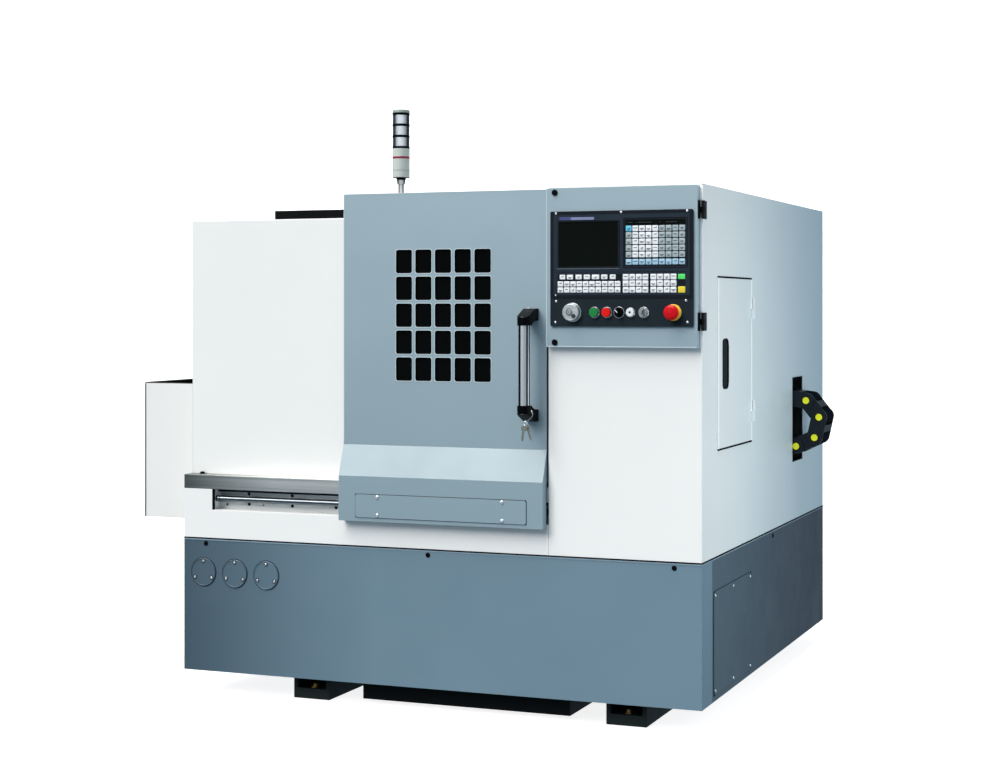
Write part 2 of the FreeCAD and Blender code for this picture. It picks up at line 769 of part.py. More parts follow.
def tail_hood():
    """Hood round the spindle's tail: open top with a folded lip, and a port for bar stock."""
    x0 = XL - HOOD_OUT
    y0 = YF + HOOD_Y
    y1 = y0 + HOOD_D
    z0 = ZS + HOOD_LOW
    z1 = z0 + HOOD_H
    t = HOOD_SHEET
    lip = HOOD_SHEET + HOOD_LIP
    shell = box(x0, XL, y0, y1, z0, z1)
    shell = shell.cut(box(x0 + t, XL, y0 + t, y1 - t, z0 + t, z1 - t))
    shell = shell.cut(box(x0 + lip, XL, y0 + lip, y1 - lip, z1 - t, z1))
    return shell.cut(rod((x0, SPY, SPZ), (1, 0, 0), HOOD_PORT_R, t))


def top_guide_rail():
    """Grooved rail on the roof that steadies the door's top."""
    y0 = Y_COVER + SHEET
    mid = y0 + TOP_RAIL_W / 2
    x0 = XL + TOP_RAIL_START
    rail = box(x0, XC, y0, y0 + TOP_RAIL_W, ZLEFT, ZLEFT + TOP_RAIL_H)
    return rail.cut(box(x0, XC, mid - TOP_GROOVE_W / 2, mid + TOP_GROOVE_W / 2,
                        ZLEFT + TOP_RAIL_H - TOP_GROOVE_D, ZLEFT + TOP_RAIL_H))


def lamp_ring(z):
    """Outline of one raised ring of the signal lamp."""
    out = TOWER_R + RING_LIP
    return [(TOWER_R, z), (out, z), (out, z + RING_H), (TOWER_R, z + RING_H)]


def signal_tower():
    """Signal lamp: pole, cone, body, lenses between raised rings, and cap, turned as one."""
    foot = ZLEFT + TOWER_FOOT
    neck = ZLEFT + POLE_H - NECK_H
    low = ZLEFT + POLE_H
    line = [(0, ZLEFT), (TOWER_R, ZLEFT), (TOWER_R, foot), (POLE_R, foot), (POLE_R, neck),
            (NECK_LOW_R, neck), (NECK_TOP_R, low), (TOWER_R, low)]
    z = low + LAMP_BODY_H
    for _ in range(LENS_COUNT):
        line += lamp_ring(z)
        z += RING_H + LENS_H
    line += lamp_ring(z)
    top = z + RING_H + LAMP_CAP_H
    line += [(TOWER_R, top - LAMP_CAP_EDGE), (TOWER_R - LAMP_CAP_EDGE, top), (0, top)]
    corners = [V(r, 0, z) for r, z in line]
    face = Part.Face(Part.makePolygon(corners + corners[:1]))
    lamp = face.revolve(V(0, 0, 0), V(0, 0, 1), 360)
    return moved(lamp, XL + TOWER_X, YF + TOWER_Y)


# ---------------------------------------------------------------- door
def window_places():
    """Lower left corners of the window's openings."""
    return [(DOOR_L + GRID_LEFT + GRID_PITCH_X * i, ZS + GRID_LOW + GRID_PITCH_Z * j)
            for i in range(GRID_N) for j in range(GRID_N)]


def door_panel():
    """Folded door: flat upper sheet, knee, chute, side returns and the window grid."""
    line = [(YF + DOOR_RETURN, ZS + DOOR_TOP), (YF, ZS + DOOR_TOP), (YF, ZS + KNEE_TOP),
            (Y_CHUTE, ZS + KNEE_LOW), (Y_CHUTE, ZS + CHUTE_LOW)]
    skin = fold(line, SHEET, "X", DOOR_L, DOOR_R)
    back = YF + DOOR_RETURN
    low_back = YF - SHEET
    outline = [(back, ZS + DOOR_TOP), (YF, ZS + DOOR_TOP), (YF, ZS + KNEE_TOP),
               (Y_CHUTE, ZS + KNEE_LOW), (Y_CHUTE, ZS + CHUTE_LOW), (low_back, ZS + CHUTE_LOW),
               (low_back, Z_COVER + SHEET), (back, Z_COVER + CHUTE_OUT)]
    sides = [prism(outline, "X", DOOR_L, DOOR_L + SHEET),
             prism(outline, "X", DOOR_R - SHEET, DOOR_R)]
    door = fuse([skin] + sides)
    cell = pad(0, CELL_W, YF, YF + SHEET, 0, CELL_H, "Y", CELL_R)
    return door.cut(group(moved(cell, x, 0, z) for x, z in window_places()))


def window_glass():
    """Dark pane behind the grid."""
    width = GRID_PITCH_X * (GRID_N - 1) + CELL_W
    height = GRID_PITCH_Z * (GRID_N - 1) + CELL_H
    x = DOOR_L + GRID_LEFT
    z = ZS + GRID_LOW
    y = YF + SHEET
    return box(x - GLASS_LAP, x + width + GLASS_LAP, y, y + GLASS_T, z - GLASS_LAP,
               z + height + GLASS_LAP)


def chute_plate():
    """Thin screwed plate on the chute's front."""
    x = DOOR_L + PLATE_LEFT
    z = ZS + PLATE_LOW
    return pad(x, x + PLATE_W, Y_CHUTE - PLATE_T, Y_CHUTE, z, z + PLATE_H, "Y", PLATE_R)


def handle_tube():
    """Upright tube of the door handle, plugged into both brackets."""
    z = ZS + HANDLE_LOW + BRACKET_H / 2
    return ring((DOOR_L + HANDLE_X, YF - HANDLE_OUT, z), (0, 0, 1), HANDLE_R,
                HANDLE_R - HANDLE_WALL, HANDLE_H - BRACKET_H)


def handle_bracket(upper):
    """Moulded elbow from the door to one end of the tube."""
    x = DOOR_L + HANDLE_X
    y = YF - HANDLE_OUT
    out = HANDLE_R + BRACKET_LIP
    z0 = ZS + HANDLE_LOW
    line = [(YF, z0), (YF - BRACKET_FLAT, z0), (y - out, z0 + BRACKET_SLOPE), (y - out, z0 + BRACKET_H),
            (YF, z0 + BRACKET_H)]
    elbow = prism(line, "X", x - BRACKET_W / 2, x + BRACKET_W / 2)
    front = [e for e in elbow.Edges
             if all(abs(v.Point.y - (y - out)) < 1e-6 for v in e.Vertexes)
             and abs(e.tangentAt(e.FirstParameter).z) > 0.9]
    elbow = elbow.makeFillet(BRACKET_CORNER, front)
    elbow = elbow.cut(rod((x, y, z0 + BRACKET_H / 2), (0, 0, 1), HANDLE_R, BRACKET_H))
    if upper:
        middle = ZS + HANDLE_LOW + HANDLE_H / 2
        elbow = elbow.mirror(V(0, 0, middle), V(0, 0, 1))
    return elbow


def door_guides():
    """Open bearings on the guide rod and top shoes in the roof rail."""
    pieces = []
    for at in BEARING_AT:
        x = DOOR_L + at
        block = box(x - BEARING_L / 2, x + BEARING_L / 2, Y_CHUTE + SHEET, ROD_Y + ROD_R,
                    ROD_Z - BEARING_H / 2, ROD_Z + BEARING_H / 2)
        block = block.cut(rod((x - BEARING_L / 2, ROD_Y, ROD_Z), (1, 0, 0), ROD_R + RUN, BEARING_L))
        pieces.append(block.cut(box(x - BEARING_L / 2, x + BEARING_L / 2, ROD_Y, ROD_Y + ROD_R,
                                    ROD_Z - BEARING_SLOT / 2, ROD_Z + BEARING_SLOT / 2)))
    mid = Y_COVER + SHEET + TOP_RAIL_W / 2
    top = ZLEFT + TOP_RAIL_H
    for at in SHOE_AT:
        x = DOOR_L + at
        arm = box(x - SHOE_L / 2, x + SHOE_L / 2, YF + SHEET, mid + TOP_GROOVE_W / 2 - SHOE_IN,
                  top + RUN, top + RUN + SHOE_T)
        pin = box(x - SHOE_L / 2, x + SHOE_L / 2, mid - TOP_GROOVE_W / 2 + RUN,
                  mid + TOP_GROOVE_W / 2 - RUN, top - TOP_GROOVE_D + RUN, top + RUN + SHEET)
        pieces.append(fuse([arm, pin]))
    return group(pieces)


# ---------------------------------------------------------------- operator panel
def switch_x(offset):
    """Place of a switch along the operator unit."""
    return UX + offset


def control_box():
    """Shallow folded box that carries the operator unit."""
    t = PANEL_SHEET
    back = YF - PANEL_GAP
    shell = pad(PX, PX + PANEL_W, Y_PANEL, back, PZ, PZ + PANEL_H, "Y", PANEL_R)
    shell = shell.cut(box(PX + t, PX + PANEL_W - t, Y_PANEL + t, back, PZ + t, PZ + PANEL_H - t))
    edge = UNIT_INSET
    upper = box(UX + edge, UX + UNIT_W - edge, Y_PANEL, Y_PANEL + t, UZ + SWITCH_H + edge,
                UZ + UNIT_H - edge)
    lower = box(UX + edge, UX + UNIT_W - edge, Y_PANEL, Y_PANEL + t, UZ + edge,
                UZ + SWITCH_H - edge)
    shell = shell.cut(upper).cut(lower)
    for z in (PZ + LOCK_INSET_Z, PZ + PANEL_H - LOCK_INSET_Z):
        shell = shell.cut(rod((PX + LOCK_INSET_X, Y_PANEL, z), (0, 1, 0), STEM_R + SPIN, t))
    return shell


def cnc_unit():
    """Moulded bezel with screen and key pockets over the switch plate, and its rear case."""
    front = pad(UX, UX + UNIT_W, Y_UNIT, Y_PANEL, UZ, UZ + UNIT_H, "Y", UNIT_R)
    sx = UX + SCREEN_X
    sz = UZ + SCREEN_Z
    front = front.cut(box(sx, sx + SCREEN_W, Y_UNIT, Y_UNIT + POCKET_D, sz, sz + SCREEN_H))
    kx = UX + KEYS_X
    kz = UZ + KEYS_Z
    front = front.cut(box(kx, kx + KEYS_W, Y_UNIT, Y_UNIT + POCKET_D, kz, kz + KEYS_H))
    lz = UZ + LOW_KEYS_Z
    front = front.cut(box(sx - LOW_KEYS_REACH, UX + UNIT_W - LOW_KEYS_EDGE, Y_UNIT,
                          Y_UNIT + POCKET_D, lz, lz + LOW_KEYS_H))
    seam = UZ + SWITCH_H
    front = front.cut(box(UX, UX + UNIT_W, Y_UNIT, Y_UNIT + SEAM, seam - SEAM / 2, seam + SEAM / 2))
    edge = UNIT_INSET + RUN
    case = box(UX + edge, UX + UNIT_W - edge, Y_PANEL, Y_PANEL + UNIT_DEPTH,
               UZ + SWITCH_H + edge, UZ + UNIT_H - edge)
    unit = fuse([front, case])
    for offset in (WHEEL_X, START_X, STOP_X, SELECT_X, KEYLOCK_X, ESTOP_X):
        unit = unit.cut(rod((switch_x(offset), Y_UNIT, SW_Z), (0, 1, 0), STEM_R + SPIN, UNIT_T))
    return unit


def screen():
    """Glass of the display, sunk in its pocket."""
    x = UX + SCREEN_X
    z = UZ + SCREEN_Z
    return box(x, x + SCREEN_W, Y_UNIT + POCKET_D / 2, Y_UNIT + POCKET_D, z, z + SCREEN_H)


def key_field(x0, z0, width, height, columns, rows):
    """Rows of flat keys standing on a mat."""
    pitch_x = width / columns
    pitch_z = height / rows
    y = Y_UNIT + MAT_FACE
    return [box(x0 + pitch_x * i + KEY_GAP / 2, x0 + pitch_x * (i + 1) - KEY_GAP / 2,
                y - KEY_RISE, y, z0 + pitch_z * j + KEY_GAP / 2,
                z0 + pitch_z * (j + 1) - KEY_GAP / 2)
            for i in range(columns) for j in range(rows)]


def main_keys():
    """Mat beside the screen: rows of keys and a row set apart below them."""
    kx = UX + KEYS_X
    kz = UZ + KEYS_Z
    mat = box(kx, kx + KEYS_W, Y_UNIT + MAT_FACE, Y_UNIT + POCKET_D, kz, kz + KEYS_H)
    x0 = kx + KEY_BORDER
    wide = KEYS_W - 2 * KEY_BORDER
    foot = kz + KEY_BORDER
    low = KEY_BORDER + FOOT_KEYS_H + FOOT_KEYS_BREAK
    keys = key_field(x0, kz + low, wide, KEYS_H - low - KEY_HEAD, KEY_COLUMNS, KEY_ROWS)
    keys += key_field(x0, foot, wide, FOOT_KEYS_H, KEY_COLUMNS, 1)
    return fuse([mat] + keys)


def low_keys():
    """Mat under the screen with its groups of keys."""
    x = UX + SCREEN_X - LOW_KEYS_REACH
    z = UZ + LOW_KEYS_Z
    wide = UX + UNIT_W - LOW_KEYS_EDGE - x
    mat = box(x, x + wide, Y_UNIT + MAT_FACE, Y_UNIT + POCKET_D, z, z + LOW_KEYS_H)
    pitch = (wide - LOW_BREAK * (len(LOW_COLUMNS) - 1)) / sum(LOW_COLUMNS)
    keys = []
    for columns in LOW_COLUMNS:
        keys += key_field(x, z, pitch * columns, LOW_KEYS_H, columns, LOW_ROWS)
        x += pitch * columns + LOW_BREAK
    return fuse([mat] + keys)


def keypad():
    """Rubber key mats of the unit."""
    return group([main_keys(), low_keys()])


def button_bezels():
    """Rings round the switches, the lamp and the stop's yellow collar."""
    def collar(offset, outer, inner, thick):
        centre = (switch_x(offset), Y_UNIT - thick, SW_Z)
        return ring(centre, (0, 1, 0), outer, inner, thick)
    rings = [collar(o, BEZEL_R, BUTTON_R + RUN, BEZEL_T) for o in (START_X, STOP_X)]
    rings += [collar(o, BEZEL_R, STEM_R + RUN, BEZEL_T) for o in (SELECT_X, KEYLOCK_X)]
    rings.append(rod((switch_x(LAMP_X), Y_UNIT - BEZEL_T, SW_Z), (0, 1, 0), BEZEL_R, BEZEL_T))
    rings.append(collar(WHEEL_X, WHEEL_RING_R, STEM_R + RUN, BEZEL_T))
    rings.append(collar(ESTOP_X, ESTOP_COLLAR_R, STEM_R + RUN, ESTOP_COLLAR_T))
    return group(rings)


def stemmed(offset, cap):
    """A cap with the stem that runs through the plate."""
    stem = rod((switch_x(offset), cap.BoundBox.YMax, SW_Z), (0, 1, 0), STEM_R,
               Y_PANEL - STEM_SHORT - cap.BoundBox.YMax)
    return fuse([cap, stem])


def push_button(offset):
    """Flat round push-button."""
    y = Y_UNIT - BUTTON_STAND - BUTTON_T
    cap = rod((switch_x(offset), y, SW_Z), (0, 1, 0), BUTTON_R, BUTTON_T)
    rim = [e for e in cap.Edges if abs(e.CenterOfMass.y - y) < 1e-6]
    return stemmed(offset, cap.makeFillet(BUTTON_EDGE, rim))


def handwheel():
    """Round dial with a finger dimple."""
    y = Y_UNIT - BEZEL_T - RUN - WHEEL_T
    x = switch_x(WHEEL_X)
    dial = rod((x, y, SW_Z), (0, 1, 0), WHEEL_R, WHEEL_T)
    rim = [e for e in dial.Edges if abs(e.CenterOfMass.y - y) < 1e-6]
    dial = dial.makeFillet(WHEEL_EDGE, rim)
    dimple = rod((x, y, SW_Z + DIMPLE_AT), (0, 1, 0), DIMPLE_R, DIMPLE_D)
    return stemmed(WHEEL_X, dial.cut(dimple))


def selector_knob(offset, radius, depth):
    """Round knob with a raised finger bar."""
    face = Y_UNIT - BEZEL_T - RUN - KNOB_T
    x = switch_x(offset)
    half = KNOB_BAR_W / 2
    base = rod((x, face, SW_Z), (0, 1, 0), radius, KNOB_T)
    reach = radius - KNOB_BAR_IN
    bar = box(x - half, x + half, face - depth, face, SW_Z - reach, SW_Z + reach)
    return stemmed(offset, fuse([base, bar]))


def estop_button():
    """Mushroom head on its neck."""
    neck = ESTOP_STAND
    low = neck + ESTOP_HEAD
    edge = neck + ESTOP_EDGE_H
    line = [(0, 0), (ESTOP_NECK_R, 0), (ESTOP_NECK_R, -neck + ESTOP_EDGE_H),
            (ESTOP_R - ESTOP_EDGE_IN, -neck), (ESTOP_R, -edge), (ESTOP_R, -edge - ESTOP_SIDE_H),
            (ESTOP_R - ESTOP_CROWN_IN, -low + ESTOP_CROWN_H), (0, -low)]
    corners = [V(r, y, 0) for r, y in line]
    face = Part.Face(Part.makePolygon(corners + corners[:1]))
    head = face.revolve(V(0, 0, 0), V(0, 1, 0), 360)
    y = Y_UNIT - ESTOP_COLLAR_T - ESTOP_TRAVEL
    head = moved(head, switch_x(ESTOP_X), y, SW_Z)
    return stemmed(ESTOP_X, head)


def panel_lock(z):
    """Quarter-turn lock in the panel's edge."""
    x = PX + LOCK_INSET_X
    head = rod((x, Y_PANEL - LOCK_T, z), (0, 1, 0), LOCK_R, LOCK_T)
    face = Y_PANEL - LOCK_T
    slot = box(x - LOCK_SLOT_L / 2, x + LOCK_SLOT_L / 2, face, face + LOCK_SLOT_D,
               z - LOCK_SLOT_W / 2, z + LOCK_SLOT_W / 2)
    stem = PANEL_OUT - PANEL_GAP - LOCK_STEM_SHORT
    return fuse([head.cut(slot), rod((x, Y_PANEL, z), (0, 1, 0), STEM_R, stem)])


def hinge_heights():
    """Lower ends of the two panel hinges."""
    return (PZ + HINGE_LOW, PZ + PANEL_H - HINGE_HIGH)


def panel_hinge(z):
    """Moving half of a panel hinge: leaf on the box's side and middle knuckle."""
    third = HINGE_H / 3
    x0 = PX + PANEL_W
    leaf = box(x0, x0 + HINGE_LEAF, Y_PANEL, HY + HINGE_LEAF / 2, z, z + HINGE_H)
    arm = box(x0, HX, HY - HINGE_LEAF / 2, HY + HINGE_LEAF / 2, z + third + RUN, z + 2 * third - RUN)
    barrel = rod((HX, HY, z + third + RUN), (0, 0, 1), HINGE_R, third - 2 * RUN)
    bore = rod((HX, HY, z), (0, 0, 1), HINGE_PIN_R + SPIN, HINGE_H)
    return fuse([leaf, arm, barrel]).cut(bore)


def cabinet_hinge(z):
    """Fixed half of a panel hinge: leaf on the cabinet's side, end knuckles and pin."""
    third = HINGE_H / 3
    start = HY + HINGE_R + HINGE_SPACE
    leaf = box(XR, XR + HINGE_LEAF, start, YF + HINGE_BACK, z, z + HINGE_H)
    pieces = [leaf, rod((HX, HY, z), (0, 0, 1), HINGE_PIN_R, HINGE_H)]
    for low in (z, z + 2 * third):
        pieces.append(rod((HX, HY, low), (0, 0, 1), HINGE_R, third))
        pieces.append(box(XR, HX, YF, start + HINGE_LEAF, low, low + third))
        pieces.append(box(HX - HINGE_LEAF, HX, HY, YF + HINGE_LEAF, low, low + third))
    return fuse(pieces)


# ---------------------------------------------------------------- access door and lubricator
def access_knuckles():
    """Lower ends of the access door's two hinges."""
    return (AZ + ACCESS_KNUCKLE_IN, AZ + ACCESS_H - ACCESS_KNUCKLE_IN - ACCESS_KNUCKLE)


def access_door():
    """Flat door on the right side with a sight slot and half of each hinge."""
    door = box(XR, XR + ACCESS_T, AY, AY + ACCESS_W, AZ, AZ + ACCESS_H)
    sy = AY + SLOT_Y
    sz = AZ + SLOT_LOW
    door = door.cut(pad(XR, XR + ACCESS_T, sy, sy + SLOT_W, sz, sz + SLOT_H, "X", SLOT_R))
    pieces = [door]
    bores = []
    length = ACCESS_KNUCKLE / 2 - RUN
    for z in access_knuckles():
        pieces.append(rod((AHX, AHY, z), (0, 0, 1), ACCESS_KNUCKLE_R, length))
        pieces.append(box(XR + ACCESS_T, AHX, AY + ACCESS_W - ACCESS_LAP, AHY, z, z + length))
        bores.append(rod((AHX, AHY, z), (0, 0, 1), ACCESS_PIN_R + SPIN, length))
    return fuse(pieces).cut(group(bores))


def access_hinge(z):
    """Fixed half of an access door hinge with its pin."""
    half = ACCESS_KNUCKLE / 2
    top = z + ACCESS_KNUCKLE
    barrel = rod((AHX, AHY, z + half), (0, 0, 1), ACCESS_KNUCKLE_R, half)
    web = box(XR, AHX, AHY, AHY + ACCESS_KNUCKLE_R, z + half, top)
    leaf = box(XR, XR + HINGE_LEAF, AHY, AHY + ACCESS_LEAF, z + half, top)
    pin = rod((AHX, AHY, z), (0, 0, 1), ACCESS_PIN_R, ACCESS_KNUCKLE)
    return fuse([barrel, web, leaf, pin])


def lubricator():
    """Oil tank behind the sight slot, on a bracket from the cabinet's front sheet."""
    x1 = XR - TANK_INSET
    x0 = x1 - TANK_L
    z0 = AZ + SLOT_LOW - TANK_DROP
    z1 = z0 + TANK_H
    y1 = AY + SLOT_Y + SLOT_W + TANK_PAST
    y0 = y1 - TANK_D
    bracket = fold([(YF + SHEET, z0 - TANK_FLAP), (YF + SHEET, z0), (y1, z0)], -SHEET, "X", x0, x1)
    tank = pad(x0, x1, y0, y1, z0, z1, "Z", TANK_R)
    cap = rod((x0 + FILLER_AT, (y0 + y1) / 2, z1), (0, 0, 1), FILLER_R, FILLER_H)
    pump_y = y1 - PUMP_SETBACK
    pump = box(x1 - PUMP_L, x1, pump_y - PUMP_D, pump_y, z1, z1 + PUMP_H)
    return fuse([bracket, tank, cap, pump])


# ---------------------------------------------------------------- bed, headstock and drive
def slope_z(y):
    """Height of the slanted face at a depth."""
    return FOOT_Z + (y - FOOT_Y) * SIN / COS


def bed():
    """Cast slant bed with motor bay, hollow rear, screw groove and chain shelf."""
    line = [(BY0, BED_Z0), (BY0, slope_z(BY0)), (BY1, slope_z(BY1)), (BY1, BED_Z0)]
    body = prism(line, "X", BX0, BX1)
    half = MOTOR_BAY / 2
    bay = box(BX0, BX0 + MOTOR_L + MOTOR_ROOM, MY - half, MY + half, MZ - half, MZ + half)
    body = body.cut(bay)
    core_y = MY + half + BED_WALL
    core_top = slope_z(core_y) - BED_WALL * 2
    body = body.cut(box(BX0, BX1, core_y, BY1, BED_Z0 + BED_WALL, core_top))
    groove = box(HEAD_X1, BX1, SCREW_UP - GROOVE_W / 2, SCREW_UP + GROOVE_W / 2, -GROOVE_D, 0)
    body = body.cut(slanted(groove))
    body = body.cut(slanted(rod((HEAD_X1 - JOURNAL_IN, SCREW_UP, -SCREW_DOWN), (1, 0, 0),
                                JOURNAL_R + SPIN, JOURNAL_IN)))
    low = CHZ - CHAIN_R - CHAIN_HALF - RUN
    shelf = box(BX1 - SHELF_L, BX1 + SHELF_OUT, BY1, CHY + CHAIN_W, low - FLOOR_PLATE, low)
    shelf = shelf.fuse(box(BX1 - SHELF_L, BX1, BY1, BY1 + FLOOR_PLATE, low, core_top + SHELF_WEB))
    return fuse([body, shelf])


def bed_rails():
    """Two straight rails with waisted sides."""
    half = RAIL_W / 2
    waist = half - RAIL_WAIST
    shoulder = RAIL_H - RAIL_FOOT
    rails = []
    for up in (RAIL_LOW, RAIL_HIGH):
        right = [(up + half, 0), (up + half, RAIL_FOOT), (up + waist, RAIL_FOOT + RAIL_WAIST),
                 (up + half, shoulder), (up + half, RAIL_H)]
        left = [(up - half, RAIL_H), (up - half, shoulder), (up - waist, RAIL_FOOT + RAIL_WAIST),
                (up - half, RAIL_FOOT), (up - half, 0)]
        rails.append(slanted(prism(right + left, "X", HEAD_X1 + RAIL_SETBACK, BX1)))
    return group(rails)


def headstock():
    """Headstock casting: broad foot, round barrel and bored for two bearings."""
    foot = HEAD_FOOT / 2
    line = [(-foot, 0), (foot, 0), (foot, HEAD_FOOT_T), (HEAD_R, HEAD_NECK), (HEAD_R, SWING),
            (-HEAD_R, SWING), (-HEAD_R, HEAD_NECK), (-foot, HEAD_FOOT_T)]
    head = prism(line, "X", HEAD_X0, HEAD_X1)
    head = fuse([head, rod((HEAD_X0, 0, SWING), (1, 0, 0), HEAD_R, HEAD_X1 - HEAD_X0)])
    head = head.cut(rod((HEAD_X0, 0, SWING), (1, 0, 0), SHAFT_R + HEAD_BORE, HEAD_X1 - HEAD_X0))
    for x in (HEAD_X0, HEAD_X1 - BEARING_W):
        head = head.cut(rod((x, 0, SWING), (1, 0, 0), BEARING_R, BEARING_W))
    return slanted(head)


def spindle_bearings():
    """Front and rear bearing cartridges."""
    return group(ring((x, SPY, SPZ), (1, 0, 0), BEARING_R, SHAFT_R + SPIN, BEARING_W)
                 for x in (HEAD_X0, HEAD_X1 - BEARING_W))


def spindle():
    """Bored shaft with nose flange, belt pulley and the chuck's cylinder at its tail."""
    tail = XL - TAIL_OUT
    pieces = [rod((tail, SPY, SPZ), (1, 0, 0), SHAFT_R, CHUCK_X - tail),
              rod((NOSE_X, SPY, SPZ), (1, 0, 0), NOSE_R, NOSE_T),
              rod((BELT_X, SPY, SPZ), (1, 0, 0), PULLEY_R, BELT_W),
              rod((tail, SPY, SPZ), (1, 0, 0), CYLINDER_R, CYLINDER_L)]
    return fuse(pieces).cut(rod((tail, SPY, SPZ), (1, 0, 0), BAR_HOLE_R, CHUCK_X - tail))


def chuck_body():
    """Chuck with three jaw ways in its face."""
    body = rod((CHUCK_X, SPY, SPZ), (1, 0, 0), CHUCK_R, CHUCK_L)
    rim = [e for e in body.Edges if abs(e.CenterOfMass.x - CHUCK_X - CHUCK_L) < 1e-6]
    body = body.makeFillet(CHUCK_EDGE, rim)
    body = body.cut(rod((CHUCK_X, SPY, SPZ), (1, 0, 0), BAR_HOLE_R, CHUCK_L))
    face = CHUCK_X + CHUCK_L
    for k in range(3):
        way = box(face - JAW_D, face, SPY - JAW_W / 2, SPY + JAW_W / 2, SPZ, SPZ + CHUCK_R)
        way.rotate(V(0, SPY, SPZ), V(1, 0, 0), 120 * k)
        body = body.cut(way)
    return body


def jaw(k):
    """Stepped jaw in its way."""
    face = CHUCK_X + CHUCK_L
    half = JAW_W / 2 - RUN
    z0 = SPZ + JAW_IN_R
    shank = box(face - JAW_D + RUN, face + JAW_OUT, SPY - half, SPY + half, z0, z0 + JAW_LEN)
    inner = box(face + JAW_STEP_1, face + JAW_OUT, SPY - half, SPY + half, z0, z0 + JAW_HIGH_1)
    outer = box(face + JAW_STEP_2, face + JAW_OUT, SPY - half, SPY + half, z0, z0 + JAW_HIGH_2)
    body = shank.cut(inner).cut(outer)
    body.rotate(V(0, SPY, SPZ), V(1, 0, 0), 120 * k)
    return body


def belt_loop(extra, y0, z0, r0, y1, z1, r1, x0, x1):
    """Solid inside a belt that runs round two pulleys, each radius with something extra."""
    r0 += extra
    r1 += extra
    gap = math.hypot(y1 - y0, z1 - z0)
    along = math.atan2(z1 - z0, y1 - y0)
    lean = math.acos((r0 - r1) / gap)
    corners = []
    for cy, cz, r, side in ((y0, z0, r0, 1), (y1, z1, r1, 1), (y1, z1, r1, -1), (y0, z0, r0, -1)):
        corners.append((cy + r * math.cos(along + side * lean), cz + r * math.sin(along + side * lean)))
    return fuse([prism(corners, "X", x0, x1), rod((x0, y0, z0), (1, 0, 0), r0, x1 - x0),
                 rod((x0, y1, z1), (1, 0, 0), r1, x1 - x0)])


def drive_belt():
    """Flat-backed belt from the motor up to the spindle."""
    gauge = (SPY, SPZ, PULLEY_R, MY, MZ, MOTOR_PULLEY_R, BELT_X + BELT_SIDE,
             BELT_X + BELT_W - BELT_SIDE)
    return belt_loop(RUN + BELT_T, *gauge).cut(belt_loop(RUN, *gauge))


def spindle_motor():
    """Flanged motor in the bed's bay."""
    x0 = BX0 - MOTOR_FLANGE_T
    pilot_x = x0 - MOTOR_PILOT_T
    half = MOTOR_FLANGE / 2
    flange = pad(x0, BX0, MY - half, MY + half, MZ - half, MZ + half, "X", TANK_R)
    can = rod((BX0, MY, MZ), (1, 0, 0), MOTOR_R, MOTOR_L)
    pilot = rod((pilot_x, MY, MZ), (1, 0, 0), MOTOR_PILOT_R, MOTOR_PILOT_T)
    bore = rod((pilot_x, MY, MZ), (1, 0, 0), MOTOR_SHAFT_R + SPIN, MOTOR_BORE)
    return fuse([flange, can, pilot]).cut(bore)


def motor_pulley():
    """Motor's shaft end with its belt pulley."""
    pulley = rod((BELT_X, MY, MZ), (1, 0, 0), MOTOR_PULLEY_R, BELT_W)
    shaft = rod((BELT_X, MY, MZ), (1, 0, 0), MOTOR_SHAFT_R, BX0 + MOTOR_SHAFT_IN - BELT_X)
    return fuse([pulley, shaft])


def ball_screw():
    """Feed screw with a journal at each end."""
    x0 = HEAD_X1 - JOURNAL_IN + RUN
    x1 = BX1 + JOURNAL_OUT
    at = (SCREW_UP, -SCREW_DOWN)
    thread = rod((HEAD_X1 + THREAD_END, *at), (1, 0, 0), SCREW_R, BX1 - HEAD_X1 - 2 * THREAD_END)
    return slanted(fuse([thread, rod((x0, *at), (1, 0, 0), JOURNAL_R, x1 - x0)]))


def feed_motor():
    """Servo motor that turns the feed screw, on the bed's right end."""
    at = (SCREW_UP, -SCREW_DOWN)
    wide = SERVO_FLANGE / 2
    half = SERVO_W / 2
    x1 = BX1 + SERVO_FLANGE_T
    plate = pad(BX1, x1, at[0] - wide, at[0] + wide, at[1] - wide, at[1] + wide, "X", SERVO_R)
    can = pad(x1, x1 + SERVO_L, at[0] - half, at[0] + half, at[1] - half, at[1] + half, "X", SERVO_R)
    bore = rod((BX1, *at), (1, 0, 0), JOURNAL_R + SPIN, SERVO_BORE)
    return slanted(fuse([plate, can]).cut(bore))


# ---------------------------------------------------------------- carriage
def truck(x, up):
    """Block that runs on a rail, open underneath."""
    half = TRUCK_W / 2
    room = RAIL_W / 2 + RUN
    block = box(x, x + TRUCK_L, up - half, up + half, TRUCK_FLOOR, SADDLE_V)
    return block.cut(box(x, x + TRUCK_L, up - room, up + room, TRUCK_FLOOR, RAIL_H + RUN))


def chain_arm():
    """Bent arm from the saddle's upper edge to the chain's moving end."""
    y = FOOT_Y + SADDLE_HIGH * COS - SADDLE_V * SIN
    z = FOOT_Z + SADDLE_HIGH * SIN + SADDLE_V * COS + ARM_RISE
    drop = CHY + ARM_BACK
    top = CHZ + CHAIN_R + CHAIN_HALF + RUN
    line = [(y - ARM_IN, z - ARM_RISE + RUN), (y, z), (drop, z), (drop, top), (CHY + CHAIN_W, top),
            (CHY + CHAIN_W, top + ARM_T), (drop + ARM_T, top + ARM_T), (drop + ARM_T, z + ARM_T),
            (y - ARM_IN, z + ARM_T)]
    return prism(line, "X", SX1 - ARM_W, SX1)


